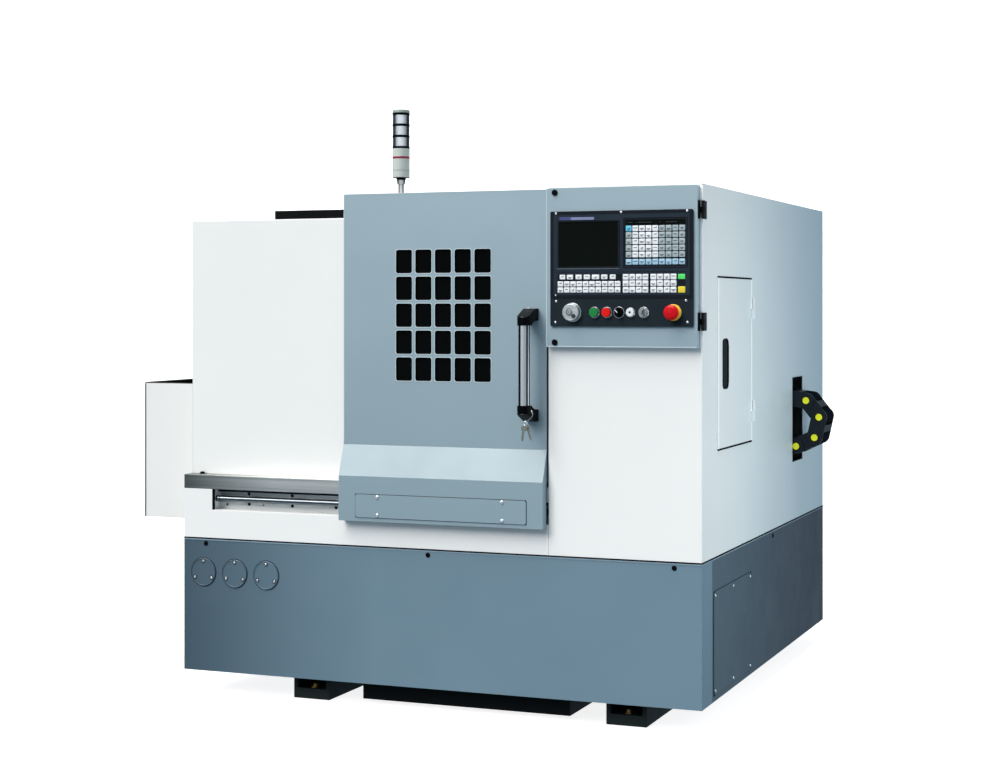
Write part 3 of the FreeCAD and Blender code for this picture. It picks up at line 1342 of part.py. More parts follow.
def saddle():
    """Carriage on the bed rails, with trucks, screw nut, cross ways and the chain's arm."""
    mid = (SX0 + SX1) / 2
    pieces = [box(SX0, SX1, SADDLE_LOW, SADDLE_HIGH, SADDLE_V, SADDLE_V + SADDLE_T)]
    pieces += [truck(x, up) for up in (RAIL_LOW, RAIL_HIGH) for x in (SX0, SX1 - TRUCK_L)]
    half = GROOVE_W / 2 - NUT_GAP
    nut = box(mid - NUT_L / 2, mid + NUT_L / 2, SCREW_UP - half, SCREW_UP + half,
              NUT_GAP - GROOVE_D, SADDLE_V)
    pieces.append(nut.cut(rod((mid - NUT_L / 2, SCREW_UP, -SCREW_DOWN), (1, 0, 0),
                              SCREW_R + SPIN, NUT_L)))
    for x in (mid - WAY_REACH, mid + WAY_REACH):
        pieces.append(box(x - WAY_W / 2, x + WAY_W / 2, SADDLE_LOW, SADDLE_HIGH,
                          WAY_V, WAY_V + WAY_H))
    return fuse([slanted(fuse(pieces)), chain_arm()])


def cross_motor():
    """Servo motor at the upper end of the cross ways."""
    mid = (SX0 + SX1) / 2
    wide = SERVO_FLANGE / 2
    half = SERVO_W / 2
    face = SADDLE_HIGH + SERVO_FLANGE_T
    plate = box(mid - wide, mid + wide, SADDLE_HIGH, face, SADDLE_V, SADDLE_V + SERVO_W)
    can = pad(mid - half, mid + half, face, face + SERVO_L, SADDLE_V, SADDLE_V + SERVO_W,
              "Y", SERVO_R)
    return slanted(fuse([plate, can]))


def cross_slide():
    """Slide that carries the turret across the slope, hooked beside both ways."""
    mid = (SX0 + SX1) / 2
    high = CROSS_LOW + CROSS_L
    plate = box(SX0 + SLIDE_INSET, SX1 - SLIDE_INSET, CROSS_LOW, high, CROSS_V, HOUSING_V)
    near = WAY_REACH + WAY_W / 2 + RUN
    far = near + SKIRT_W
    low = CROSS_V - WAY_H + TRUCK_FLOOR
    skirts = [box(mid - far, mid - near, CROSS_LOW, high, low, CROSS_V),
              box(mid + near, mid + far, CROSS_LOW, high, low, CROSS_V)]
    return slanted(fuse([plate] + skirts))


def turret_housing():
    """Indexing gear case of the turret."""
    half = HOUSING_W / 2
    x0 = SX0 + HOUSING_INSET
    x1 = SX1 - HOUSING_INSET
    face = SX0 - BOSS_OUT
    case = pad(x0, x1, TURRET_UP - half, TURRET_UP + half, HOUSING_V, HOUSING_V + HOUSING_H,
               "X", HOUSING_R)
    boss = rod((face, TURRET_UP, SWING), (1, 0, 0), BOSS_R, x0 - face)
    bore = rod((face, TURRET_UP, SWING), (1, 0, 0), TURRET_SHAFT_R + SPIN, TURRET_BORE)
    return slanted(fuse([case, boss]).cut(bore))


def turret_disc():
    """Eight-sided turret with a tool holder and a square tool on each flat."""
    x1 = SX0 - BOSS_OUT - RUN
    x0 = x1 - TURRET_T
    corner = TURRET_FLAT / math.cos(math.pi / TURRET_STATIONS)
    turn = math.pi / TURRET_STATIONS
    line = [(corner * math.cos(turn * (2 * k + 1)), corner * math.sin(turn * (2 * k + 1)))
            for k in range(TURRET_STATIONS)]
    shaft = rod((x0, 0, 0), (1, 0, 0), TURRET_SHAFT_R, TURRET_T + TURRET_SHAFT_L)
    pieces = [prism(line, "X", x0, x1), shaft]
    tool_x = x0 + 2 * HOLDER_FRONT
    for k in range(TURRET_STATIONS):
        holder = box(x0 + HOLDER_FRONT, x1 - HOLDER_BACK, -HOLDER_W / 2, HOLDER_W / 2,
                     TURRET_FLAT - HOLDER_IN, TURRET_FLAT + HOLDER_H)
        tool = box(tool_x, tool_x + TOOL_SIDE, -TOOL_SIDE / 2, TOOL_SIDE / 2,
                   TURRET_FLAT, TURRET_FLAT + TOOL_OUT)
        both = fuse([holder, tool])
        both.rotate(V(0, 0, 0), V(1, 0, 0), 360.0 / TURRET_STATIONS * k)
        pieces.append(both)
    return slanted(moved(fuse(pieces), 0, TURRET_UP, SWING))


def chip_pan():
    """Folded pan that leads chips and coolant from the bed down to the drain."""
    floor = ZS - PAN_DROP
    line = [(BY0, slope_z(BY0) - PAN_LIP), (BY0 - PAN_NEAR, floor), (BY0 - PAN_FAR, floor),
            (YF + SHEET, ZS - PAN_TOP)]
    pan = fold(line, -SHEET, "X", BX0 + MOTOR_L + MOTOR_ROOM, BX1)
    return pan.common(box(XL, XR, YF + SHEET, BY0, ZP, ZTOP))


# ---------------------------------------------------------------- cable chain
def chain_pivots():
    """Pins of the chain: along the lower run, round the bend and back on the upper run."""
    pins = [(CHX - CHAIN_PITCH * (CHAIN_LOWER - i), CHZ - CHAIN_R) for i in range(CHAIN_LOWER)]
    turn = 2 * math.asin(CHAIN_PITCH / 2 / CHAIN_R)
    angle = -math.pi / 2
    while angle < math.pi / 2:
        pins.append((CHX + CHAIN_R * math.cos(angle), CHZ + CHAIN_R * math.sin(angle)))
        angle += turn
    top = CHZ + CHAIN_R
    x, z = pins[-1]
    x -= math.sqrt(CHAIN_PITCH ** 2 - (top - z) ** 2)
    pins += [(x - CHAIN_PITCH * i, top) for i in range(CHAIN_UPPER)]
    return pins


def chain_link(start, end, inner):
    """One link: two side plates, two cross bars, and pins or pin holes at its ends."""
    run = math.hypot(end[0] - start[0], end[1] - start[1])
    h = CHAIN_HALF
    inset = (CHAIN_PLATE + RUN) if inner else 0.0
    plates = []
    for side in (0, 1):
        y = inset if side == 0 else CHAIN_W - inset - CHAIN_PLATE
        bar = box(0, run, y, y + CHAIN_PLATE, -h, h)
        ends = [rod((x, y, 0), (0, 1, 0), h, CHAIN_PLATE) for x in (0, run)]
        plates.append(fuse([bar] + ends))
    y0 = inset
    y1 = CHAIN_W - inset
    third = run / 3
    bars = [box(third, 2 * third, y0, y1, z, z + CHAIN_BAR) for z in (-h, h - CHAIN_BAR)]
    link = fuse(plates + bars)
    for x in (0, run):
        if inner:
            link = link.cut(rod((x, 0, 0), (0, 1, 0), CHAIN_PIN_R + SPIN, CHAIN_W))
        else:
            for y in (CHAIN_PLATE, CHAIN_W - 2 * CHAIN_PLATE - RUN):
                link = link.fuse(rod((x, y, 0), (0, 1, 0), CHAIN_PIN_R, CHAIN_PLATE + RUN))
            link = link.fuse(rod((x, -CHAIN_CAP_T, 0), (0, 1, 0), CHAIN_CAP_R, CHAIN_CAP_T))
    link = link.removeSplitter()
    angle = math.degrees(math.atan2(end[1] - start[1], end[0] - start[0]))
    link.rotate(V(0, 0, 0), V(0, -1, 0), angle)
    return moved(link, start[0], CHY, start[1])


def cable_chain():
    """The chain's links from its fixed end round the bend to the carriage's arm."""
    pins = chain_pivots()
    return group(chain_link(a, b, i % 2 == 1) for i, (a, b) in enumerate(zip(pins, pins[1:])))


# ---------------------------------------------------------------- write every sub-part
def sub_parts():
    """Name and shape of every sub-part."""
    yield "foot_rails", group(foot_rail(s * FOOT_SPACING / 2) for s in (-1, 1))
    yield "coolant_sump", coolant_sump()
    yield "plinth_base", plinth_base()
    yield "plinth_front", plinth_front()
    yield "round_covers", group(round_cap(x, z) for x, z in cap_places())
    yield "side_access_cover", side_access_cover()
    yield "front_sill", front_sill()
    yield "rail_strip", rail_strip()
    yield "guide_rod", guide_rod()
    yield "left_cover", left_cover()
    yield "left_side", left_side()
    yield "rear_sheet", rear_sheet()
    yield "right_cabinet", right_cabinet()
    yield "tail_hood", tail_hood()
    yield "top_guide_rail", top_guide_rail()
    yield "signal_tower", signal_tower()
    yield "door_panel", door_panel()
    yield "window_glass", window_glass()
    yield "chute_plate", chute_plate()
    yield "handle_tube", handle_tube()
    yield "handle_brackets", group([handle_bracket(False), handle_bracket(True)])
    yield "door_guides", door_guides()
    yield "control_box", control_box()
    yield "cnc_unit", cnc_unit()
    yield "screen", screen()
    yield "keypad", keypad()
    yield "button_bezels", button_bezels()
    yield "start_button", push_button(START_X)
    yield "stop_button", push_button(STOP_X)
    yield "handwheel", handwheel()
    yield "selector_knob", selector_knob(SELECT_X, SELECT_R, SELECT_BAR)
    yield "key_switch", selector_knob(KEYLOCK_X, KEYLOCK_R, KEYLOCK_BAR)
    yield "estop_button", estop_button()
    yield "lock_upper", panel_lock(PZ + PANEL_H - LOCK_INSET_Z)
    yield "lock_lower", panel_lock(PZ + LOCK_INSET_Z)
    yield "panel_hinges", group(panel_hinge(z) for z in hinge_heights())
    fixed = [cabinet_hinge(z) for z in hinge_heights()]
    yield "cabinet_hinges", group(fixed + [access_hinge(z) for z in access_knuckles()])
    yield "access_door", access_door()
    yield "lubricator", lubricator()
    yield "bed", bed()
    yield "bed_rails", bed_rails()
    yield "headstock", headstock()
    yield "spindle_bearings", spindle_bearings()
    yield "spindle", spindle()
    yield "chuck_body", chuck_body()
    for k in range(3):
        yield "jaw_%d" % (k + 1), jaw(k)
    yield "drive_belt", drive_belt()
    yield "spindle_motor", spindle_motor()
    yield "motor_pulley", motor_pulley()
    yield "ball_screw", ball_screw()
    yield "feed_motor", feed_motor()
    yield "saddle", saddle()
    yield "cross_motor", cross_motor()
    yield "cross_slide", cross_slide()
    yield "turret_housing", turret_housing()
    yield "turret_disc", turret_disc()
    yield "chip_pan", chip_pan()
    yield "cable_chain", cable_chain()


os.makedirs(OUT_DIR, exist_ok=True)
for name, shape in sub_parts():
    save(name, shape)
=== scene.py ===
"""A slant-bed turning lathe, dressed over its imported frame: finishes, fasteners, keys, lamp and stage."""

import json
import logging
import math
from dataclasses import dataclass, field
from enum import Enum
from typing import List, Optional, Sequence, Tuple

import bmesh
import bpy
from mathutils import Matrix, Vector

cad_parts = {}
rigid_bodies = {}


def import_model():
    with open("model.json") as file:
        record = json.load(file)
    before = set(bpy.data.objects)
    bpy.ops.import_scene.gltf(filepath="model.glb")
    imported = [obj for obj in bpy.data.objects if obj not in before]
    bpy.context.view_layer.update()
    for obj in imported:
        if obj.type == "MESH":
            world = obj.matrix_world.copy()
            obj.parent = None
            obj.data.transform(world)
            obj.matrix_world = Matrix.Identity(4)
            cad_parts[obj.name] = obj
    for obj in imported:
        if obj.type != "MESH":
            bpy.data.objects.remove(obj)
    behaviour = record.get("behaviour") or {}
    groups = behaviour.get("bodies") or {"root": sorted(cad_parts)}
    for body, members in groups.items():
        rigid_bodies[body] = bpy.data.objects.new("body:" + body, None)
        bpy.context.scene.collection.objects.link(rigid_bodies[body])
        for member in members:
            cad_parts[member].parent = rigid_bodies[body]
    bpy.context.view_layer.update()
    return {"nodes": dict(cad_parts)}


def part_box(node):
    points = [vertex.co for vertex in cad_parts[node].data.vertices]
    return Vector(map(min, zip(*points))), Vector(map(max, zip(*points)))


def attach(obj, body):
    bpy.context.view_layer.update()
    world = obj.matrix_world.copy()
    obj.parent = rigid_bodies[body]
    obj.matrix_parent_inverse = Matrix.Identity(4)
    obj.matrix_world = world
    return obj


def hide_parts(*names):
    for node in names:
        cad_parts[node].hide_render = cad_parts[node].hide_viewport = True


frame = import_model()

log = logging.getLogger("lathe")

Colour = Tuple[float, float, float]
Outline = Sequence[Tuple[float, float]]
Mesh = bmesh.types.BMesh
Socket = bpy.types.NodeSocket
Material = bpy.types.Material
Loop = List[bmesh.types.BMVert]

EDGE_STEPS = 2
EDGE_ANGLE = math.radians(40.0)
SMOOTH_ANGLE = math.radians(35.0)
WELD_REACH = 0.00001
POINT_RADIUS = 1e-7
NOISE_SPAN = (0.3, 0.7)


class Axis(Enum):
    """Axis of the shared frame that a turned piece or an outline stands on."""

    X = Vector((1.0, 0.0, 0.0))
    Y = Vector((0.0, 1.0, 0.0))
    Z = Vector((0.0, 0.0, 1.0))


class Body(Enum):
    """Moving body that a piece rides on."""

    BASE = "machine_base"
    DOOR = "sliding_door"
    PANEL = "swing_panel"
    SIDE_DOOR = "side_door"
    WHEEL = "wheel_dial"
    SELECTOR = "selector"
    KEYLOCK = "keylock"
    CHAIN = "chain_bend"


class Slot(Enum):
    """Material slot of the record that a piece's finish belongs to."""

    WHITE = "white_enamel"
    BLUE_GREY = "grey_blue_enamel"
    PLINTH = "plinth_enamel"
    BLACK = "black_enamel"
    BLACK_PLASTIC = "black_plastic"
    UNIT = "unit_plastic"
    STAINLESS = "stainless"
    STEEL = "machined_steel"
    RUBBER = "belt_rubber"
    PANE = "pane"
    KEYS = "key_rubber"
    CHROME = "ring_metal"
    LAMP = "tower_plastic"


def srgb(red: int, green: int, blue: int) -> Colour:
    """Linear colour from three screen values of 0 to 255."""
    def linear(value: int) -> float:
        """One channel."""
        share = value / 255.0
        return share / 12.92 if share <= 0.04045 else ((share + 0.055) / 1.055) ** 2.4

    return linear(red), linear(green), linear(blue)


def scaled(colour: Colour, share: float) -> Colour:
    """Colour made lighter or darker by a share."""
    return tuple(min(1.0, channel * share) for channel in colour)


# ---------------------------------------------------------------- finishes
class Shade:
    """Node tree of one material, with short methods for the nodes that the finishes share."""

    def __init__(self, name: str, roughness: float, metallic: float = 0.0) -> None:
        """Start a material.

        Args:
            name: Plain name of the finish.
            roughness: Roughness where no texture changes it.
            metallic: 1 for bare metal, 0 for paint and plastic.
        """
        self.material = bpy.data.materials.new(name)
        self.material.use_nodes = True
        self.tree = self.material.node_tree
        self.surface = self.tree.nodes["Principled BSDF"]
        self.surface.inputs["Roughness"].default_value = roughness
        self.surface.inputs["Metallic"].default_value = metallic
        self.place = self.tree.nodes.new("ShaderNodeTexCoord").outputs["Object"]

    def stretched(self, scale: Tuple[float, float, float]) -> Socket:
        """Object coordinates scaled differently along each axis."""
        node = self.tree.nodes.new("ShaderNodeMapping")
        node.inputs["Scale"].default_value = scale
        self.tree.links.new(self.place, node.inputs["Vector"])
        return node.outputs["Vector"]

    def noise(self, scale: float, detail: float = 3.0, across: Optional[Socket] = None) -> Socket:
        """Noise pattern.

        Args:
            scale: Grains per metre, roughly.
            detail: Octaves of the pattern.
            across: Coordinates other than the object's own.

        Returns:
            The pattern's value, around one half.
        """
        node = self.tree.nodes.new("ShaderNodeTexNoise")
        node.inputs["Scale"].default_value = scale
        node.inputs["Detail"].default_value = detail
        self.tree.links.new(across or self.place, node.inputs["Vector"])
        return node.outputs["Fac"]

    def along(self, axis: Axis) -> Socket:
        """Distance along an axis of the shared frame, in metres."""
        node = self.tree.nodes.new("ShaderNodeSeparateXYZ")
        self.tree.links.new(self.place, node.inputs["Vector"])
        return node.outputs[axis.name]

    def ramp(self, value: Socket, source: Tuple[float, float],
             target: Tuple[float, float] = (0.0, 1.0)) -> Socket:
        """Value mapped from one range to another, held at its ends."""
        node = self.tree.nodes.new("ShaderNodeMapRange")
        for name, number in zip(("From Min", "From Max", "To Min", "To Max"), source + target):
            node.inputs[name].default_value = number
        self.tree.links.new(value, node.inputs["Value"])
        return node.outputs["Result"]

    def blended(self, share: Socket, low: Colour, high: Colour) -> Socket:
        """Colour between two colours, by a share of 0 to 1."""
        node = self.tree.nodes.new("ShaderNodeMix")
        node.data_type = "RGBA"
        node.inputs["A"].default_value = (*low, 1.0)
        node.inputs["B"].default_value = (*high, 1.0)
        self.tree.links.new(share, node.inputs["Factor"])
        return node.outputs["Result"]

    def chosen(self, share: Socket, first: Socket, second: Socket) -> Socket:
        """One colour where the share is 0 and another where it is 1."""
        node = self.tree.nodes.new("ShaderNodeMix")
        node.data_type = "RGBA"
        self.tree.links.new(first, node.inputs["A"])
        self.tree.links.new(second, node.inputs["B"])
        self.tree.links.new(share, node.inputs["Factor"])
        return node.outputs["Result"]

    def drifting(self, colour: Colour, scale: float, drift: float) -> Socket:
        """Colour that drifts a little darker and lighter over the surface.

        Args:
            colour: The middle colour.
            scale: Patches per metre, roughly.
            drift: Largest change, as a share.

        Returns:
            The drifting colour.
        """
        share = self.ramp(self.noise(scale, 4.0), NOISE_SPAN)
        return self.blended(share, scaled(colour, 1.0 - drift), scaled(colour, 1.0 + drift))

    def colour(self, value: Socket) -> None:
        """Give the surface its colour."""
        self.tree.links.new(value, self.surface.inputs["Base Color"])

    def roughness(self, value: Socket, low: float, high: float) -> None:
        """Let a pattern drive the roughness between two values."""
        self.tree.links.new(self.ramp(value, NOISE_SPAN, (low, high)), self.surface.inputs["Roughness"])

    def bump(self, value: Socket, depth: float) -> None:
        """Raise the surface by a pattern whose full step is a depth in metres."""
        node = self.tree.nodes.new("ShaderNodeBump")
        node.inputs["Strength"].default_value = 1.0
        node.inputs["Distance"].default_value = depth
        self.tree.links.new(value, node.inputs["Height"])
        self.tree.links.new(node.outputs["Normal"], self.surface.inputs["Normal"])

    def set(self, name: str, value: float) -> None:
        """Set one of the shader's own sockets."""
        self.surface.inputs[name].default_value = value


@dataclass(frozen=True)
class Shift:
    """Second colour that a finish changes to along an axis, between two places in metres."""

    colour: Colour
    axis: Axis
    start: float
    end: float


@dataclass(frozen=True)
class Enamel:
    """Sprayed paint with fine orange peel and a slow drift of tone."""

    name: str
    colour: Colour
    roughness: float = 0.4
    drift: float = 0.02
    peel: float = 0.00003
    coat: float = 0.08
    shine: float = 0.5
    shift: Optional[Shift] = None

    def material(self) -> Material:
        """Build the paint's material."""
        shade = Shade(self.name, self.roughness)
        tone = shade.drifting(self.colour, 1.7, self.drift)
        if self.shift is not None:
            reach = shade.ramp(shade.along(self.shift.axis), (self.shift.start, self.shift.end))
            tone = shade.chosen(reach, tone, shade.drifting(self.shift.colour, 2.3, self.drift))
        shade.colour(tone)
        shade.roughness(shade.noise(9.0, 5.0), self.roughness - 0.05, self.roughness + 0.08)
        shade.bump(shade.noise(420.0, 2.0), self.peel)
        shade.set("Specular IOR Level", self.shine)
        shade.set("Coat Weight", self.coat)
        shade.set("Coat Roughness", 0.15)
        return shade.material


@dataclass(frozen=True)
class Moulding:
    """Moulded plastic or rubber with a fine grain."""

    name: str
    colour: Colour
    roughness: float = 0.5
    grain: float = 900.0
    depth: float = 0.00004
    shine: float = 0.5
    shift: Optional[Shift] = None

    def material(self) -> Material:
        """Build the plastic's material."""
        shade = Shade(self.name, self.roughness)
        tone = shade.drifting(self.colour, 14.0, 0.06)
        if self.shift is not None:
            reach = shade.ramp(shade.along(self.shift.axis), (self.shift.start, self.shift.end))
            tone = shade.chosen(reach, tone, shade.drifting(self.shift.colour, 14.0, 0.06))
        shade.colour(tone)
        shade.roughness(shade.noise(45.0, 3.0), self.roughness - 0.06, self.roughness + 0.08)
        shade.bump(shade.noise(self.grain, 2.0), self.depth)
        shade.set("Specular IOR Level", self.shine)
        return shade.material


@dataclass(frozen=True)
class Brushed:
    """Bare metal with fine lines along one axis."""

    name: str
    colour: Colour
    axis: Axis = Axis.X
    roughness: float = 0.32
    contrast: float = 0.1
    shift: Optional[Shift] = None

    def material(self) -> Material:
        """Build the metal's material."""
        shade = Shade(self.name, self.roughness, 1.0)
        stretch = tuple(1.5 if axis == self.axis else 700.0 for axis in (Axis.X, Axis.Y, Axis.Z))
        lines = shade.noise(1.0, 3.0, shade.stretched(stretch))
        share = shade.ramp(lines, NOISE_SPAN)
        low, high = 1.0 - self.contrast, 1.0 + self.contrast
        tone = shade.blended(share, scaled(self.colour, low), scaled(self.colour, high))
        if self.shift is not None:
            far = self.shift.colour
            reach = shade.ramp(shade.along(self.shift.axis), (self.shift.start, self.shift.end))
            tone = shade.chosen(reach, tone, shade.blended(share, scaled(far, low), scaled(far, high)))
        shade.colour(tone)
        shade.roughness(lines, self.roughness - 0.08, self.roughness + 0.12)
        shade.bump(lines, 0.00002)
        return shade.material


@dataclass(frozen=True)
class Casting:
    """Painted casting with a rolling, slightly sandy skin."""

    name: str
    colour: Colour
    roughness: float = 0.55

    def material(self) -> Material:
        """Build the casting's material."""
        shade = Shade(self.name, self.roughness)
        shade.colour(shade.drifting(self.colour, 7.0, 0.1))
        shade.roughness(shade.noise(30.0, 4.0), self.roughness - 0.1, self.roughness + 0.1)
        shade.bump(shade.noise(160.0, 5.0), 0.0004)
        return shade.material


@dataclass(frozen=True)
class Glaze:
    """Glossy glass, lens or polycarbonate with faint smears."""

    name: str
    colour: Colour
    roughness: float = 0.1
    shine: float = 0.3

    def material(self) -> Material:
        """Build the pane's material."""
        shade = Shade(self.name, self.roughness)
        shade.colour(shade.drifting(self.colour, 4.0, 0.15))
        shade.roughness(shade.noise(11.0, 5.0), self.roughness, self.roughness + 0.08)
        shade.bump(shade.noise(3.0, 1.0), 0.0002)
        shade.set("IOR", 1.5)
        shade.set("Specular IOR Level", self.shine)
        return shade.material


@dataclass(frozen=True)
class Lens:
    """Clear part painted bright in its middle and dark where its wall is seen edge-on, a painted light and
    shade of refraction.
    """

    name: str
    colour: Colour
    edge: Colour
    roughness: float = 0.2

    def material(self) -> Material:
        """Build the lens's material."""
        shade = Shade(self.name, self.roughness)
        wall = shade.tree.nodes.new("ShaderNodeLayerWeight")
        wall.inputs["Blend"].default_value = 0.5
        reach = shade.ramp(wall.outputs["Facing"], (0.015, 0.30))
        middle = shade.drifting(self.colour, 30.0, 0.03)
        shade.colour(shade.chosen(reach, middle, shade.drifting(self.edge, 30.0, 0.1)))
        shade.roughness(shade.noise(60.0, 3.0), self.roughness, self.roughness + 0.1)
        shade.bump(shade.noise(200.0, 2.0), 0.00003)
        shade.set("Specular IOR Level", 0.3)
        return shade.material


class Finishes:
    """Every finish of the lathe, built once and shared."""

    def __init__(self) -> None:
        """Build the materials."""
        white = srgb(235, 238, 238)
        self.white = Enamel("white_coat", white, 0.36, 0.01).material()
        # Right cabinet and side door: white at the front, turning bluish towards the rear, a painted blue
        # shade.
        self.cabinet = Enamel("cabinet_coat_painted_blue_shade", white, 0.36, 0.01, shift=Shift(
            srgb(217, 240, 248), Axis.Y, -0.55, 0.72)).material()
        self.hinge = Enamel("hinge_coat", srgb(8, 10, 13), 0.42, 0.05, coat=0.0, shine=0.2, shift=Shift(
            white, Axis.Y, -0.64, -0.63)).material()
        # Tail hood: white below, near-black at its top edge, a painted shade of the open top.
        self.hood = Enamel("hood_coat_painted_shade_top", srgb(230, 232, 231), 0.36, 0.01, shift=Shift(
            srgb(12, 14, 18), Axis.Z, 0.9085, 0.909)).material()
        # Door, chute plate and panel box: lighter towards the top, a painted light gradient.
        self.blue_grey = Enamel("blue_grey_coat_painted_top_light", srgb(132, 155, 166), 0.34, 0.02, coat=0.12, shift=Shift(
            srgb(152, 174, 185), Axis.Z, 0.55, 1.45)).material()
        # Lighter blue-grey for the window rims and the door's and panel's edge strips: painted highlight.
        self.rim = Enamel("rim_painted_highlight_coat", srgb(196, 212, 219), 0.34, 0.02).material()
        plinth = srgb(104, 131, 147)
        # Plinth sides and side cover: the plinth colour darkened, and darker still towards the rear, a
        # painted shade.
        self.plinth = Enamel("plinth_side_painted_shade_coat", scaled(plinth, 0.45), 0.42, 0.035, shift=Shift(
            srgb(45, 61, 76), Axis.Y, -0.7, 0.6)).material()
        # Plinth front and round covers: darker towards the left end, a painted shade.
        self.plinth_face = Enamel("plinth_face_painted_shade_coat", srgb(53, 73, 88), 0.42, 0.035, shift=Shift(
            plinth, Axis.X, -0.95, -0.25)).material()
        # Lighter band along the plinth's top edge: painted highlight.
        self.edge_highlight = Enamel("plinth_edge_painted_highlight_coat", srgb(128, 150, 165), 0.36, 0.03).material()
        # Near-black rubber: real seals and grooves, and also strips of painted shadow in gaps and under
        # parts.
        self.gasket = Moulding("dark_gasket_and_painted_shadow", srgb(14, 18, 22), 0.6, shine=0.08).material()
        # Dark blue-grey for the rings round the plinth's covers: painted shadow.
        self.seam = Moulding("seam_painted_shadow", srgb(36, 50, 62), 0.6, shine=0.08).material()
        # Black enamel for real black parts, and for the plate on the recess's left end as painted shade.
        self.black = Enamel("black_coat_and_recess_shade", srgb(12, 15, 16), 0.4, 0.08, coat=0.0, shine=0.08).material()
        self.foot = Enamel("foot_coat", srgb(34, 42, 41), 0.5, 0.08, coat=0.0, shine=0.1).material()
        self.black_plastic = Moulding("black_moulding", srgb(7, 9, 13), 0.36, shine=0.06).material()
        self.elbow = Moulding("bracket_moulding", srgb(5, 7, 10), 0.34, shine=0.035).material()
        self.chain = Moulding("chain_nylon", srgb(18, 26, 34), 0.38, 500.0, shine=0.25).material()
        # Matte black for the hood's open top and inner left wall: painted shade.
        self.hood_trim = Moulding("hood_top_painted_shade_coat", srgb(4, 7, 10), 0.7, shine=0.0).material()
        self.slate = Moulding("slate_bezel", srgb(20, 33, 40), 0.46, shine=0.16, shift=Shift(
            srgb(29, 42, 54), Axis.Z, 1.1652, 1.1656)).material()
        # Lighter slate for the strips under and beside the screen: painted highlight.
        self.slate_highlight = Moulding("slate_painted_highlight", srgb(64, 79, 88), 0.42).material()
        self.slate_dark = Moulding("slate_border", srgb(13, 21, 30), 0.46, shine=0.14).material()
        # Rail strip steel: dark at its left end, light to the right, a painted dark reflection.
        self.stainless = Brushed("stainless_sheet_painted_reflection", srgb(92, 100, 96), Axis.X, 0.36, 0.12, Shift(
            srgb(222, 223, 220), Axis.X, -0.9, -0.58)).material()
        self.ground = Brushed("ground_steel_bar", srgb(112, 120, 126), Axis.X, 0.2, 0.04).material()
        # Plate above the guide rod: darker at its left end, near white to the right, a painted shade.
        self.recess_rail = Brushed("recess_rail", srgb(176, 184, 184), Axis.X, 0.5, 0.1, Shift(
            srgb(250, 252, 252), Axis.X, -0.79, -0.35)).material()
        # Pure white for the side door's upright edges and the cabinet's front corner: painted highlight.
        self.bright_edge = Enamel("painted_highlight_coat", srgb(254, 255, 255), 0.3, 0.01).material()
        self.milled = Brushed("milled_steel", srgb(170, 173, 175), Axis.Z, 0.34).material()
        self.chrome = Brushed("bright_ring", srgb(206, 210, 213), Axis.Z, 0.3, 0.04).material()
        self.nickel = Brushed("nickel_screw", srgb(236, 238, 239), Axis.Z, 0.34, 0.05).material()
        self.casting = Casting("painted_casting", srgb(120, 140, 146)).material()
        self.aluminium = Brushed("anodised_tube", srgb(212, 219, 223), Axis.Z, 0.44, 0.1).material()
        self.zinc = Brushed("zinc_sheet", srgb(160, 166, 168), Axis.X, 0.45).material()
        self.wheel = Brushed("spun_wheel", srgb(192, 201, 203), Axis.X, 0.46, 0.06).material()
        self.brass_key = Brushed("pale_brass_key", srgb(176, 174, 162), Axis.Z, 0.3, 0.14).material()
        self.brass = Brushed("brass_screw", srgb(172, 140, 84), Axis.Z, 0.4).material()
        self.rubber = Moulding("belt_rubber_skin", srgb(24, 24, 24), 0.75, shine=0.3).material()
        # Near-black glass, and also the lining of the window cells as painted shade.
        self.pane = Glaze("dark_pane_and_cell_shade", srgb(7, 9, 9), 0.12, 0.03).material()
        self.display = Glaze("display_glass", srgb(12, 17, 14), 0.14, 0.06).material()
        self.green = Moulding("green_cap", srgb(20, 124, 60), 0.34, shine=0.3).material()
        self.red = Moulding("red_cap", srgb(220, 18, 6), 0.34, shine=0.25).material()
        self.stop_red = Moulding("stop_head_red", srgb(197, 4, 20), 0.3, shine=0.25).material()
        self.yellow = Moulding("yellow_ring", srgb(240, 198, 62), 0.35).material()
        self.pin = Moulding("yellow_pin", srgb(255, 255, 44), 0.45).material()
        self.oil = Moulding("oil_tank_shell", srgb(196, 190, 160), 0.4, shift=Shift(
            srgb(30, 32, 34), Axis.Z, 1.0365, 1.037)).material()
        self.nylon = Moulding("nylon_block", srgb(214, 214, 208), 0.4).material()
        self.key_white = Moulding("key_white", srgb(226, 232, 237), 0.45).material()
        self.key_grey = Moulding("key_grey", srgb(156, 172, 178), 0.45).material()
        self.key_cyan = Moulding("key_cyan", srgb(92, 190, 222), 0.45).material()
        self.key_pale = Moulding("key_pale_blue", srgb(158, 196, 220), 0.45).material()
        self.key_green = Moulding("key_green", srgb(74, 220, 102), 0.45).material()
        self.key_yellow = Moulding("key_yellow", srgb(222, 202, 48), 0.45).material()
        # Dark grey for printed marks, and for the handwheel's finger hole and hub groove as painted shade.
        self.key_mark_and_recess_shade = Moulding("key_print_and_recess_shade", srgb(52, 62, 70), 0.5, shine=0.2).material()
        self.lilac = Moulding("lilac_strip", srgb(122, 132, 172), 0.4).material()
        self.navy = Moulding("navy_strip", srgb(58, 66, 120), 0.4).material()
        self.lamp_body = Moulding("lamp_body_grey_green", srgb(193, 203, 199), 0.4).material()
        # Lenses: bright middle and dark edge-on walls, painted refraction light and shade.
        self.lens = Lens("clear_lens_painted_refraction", srgb(236, 241, 248), srgb(40, 54, 66)).material()
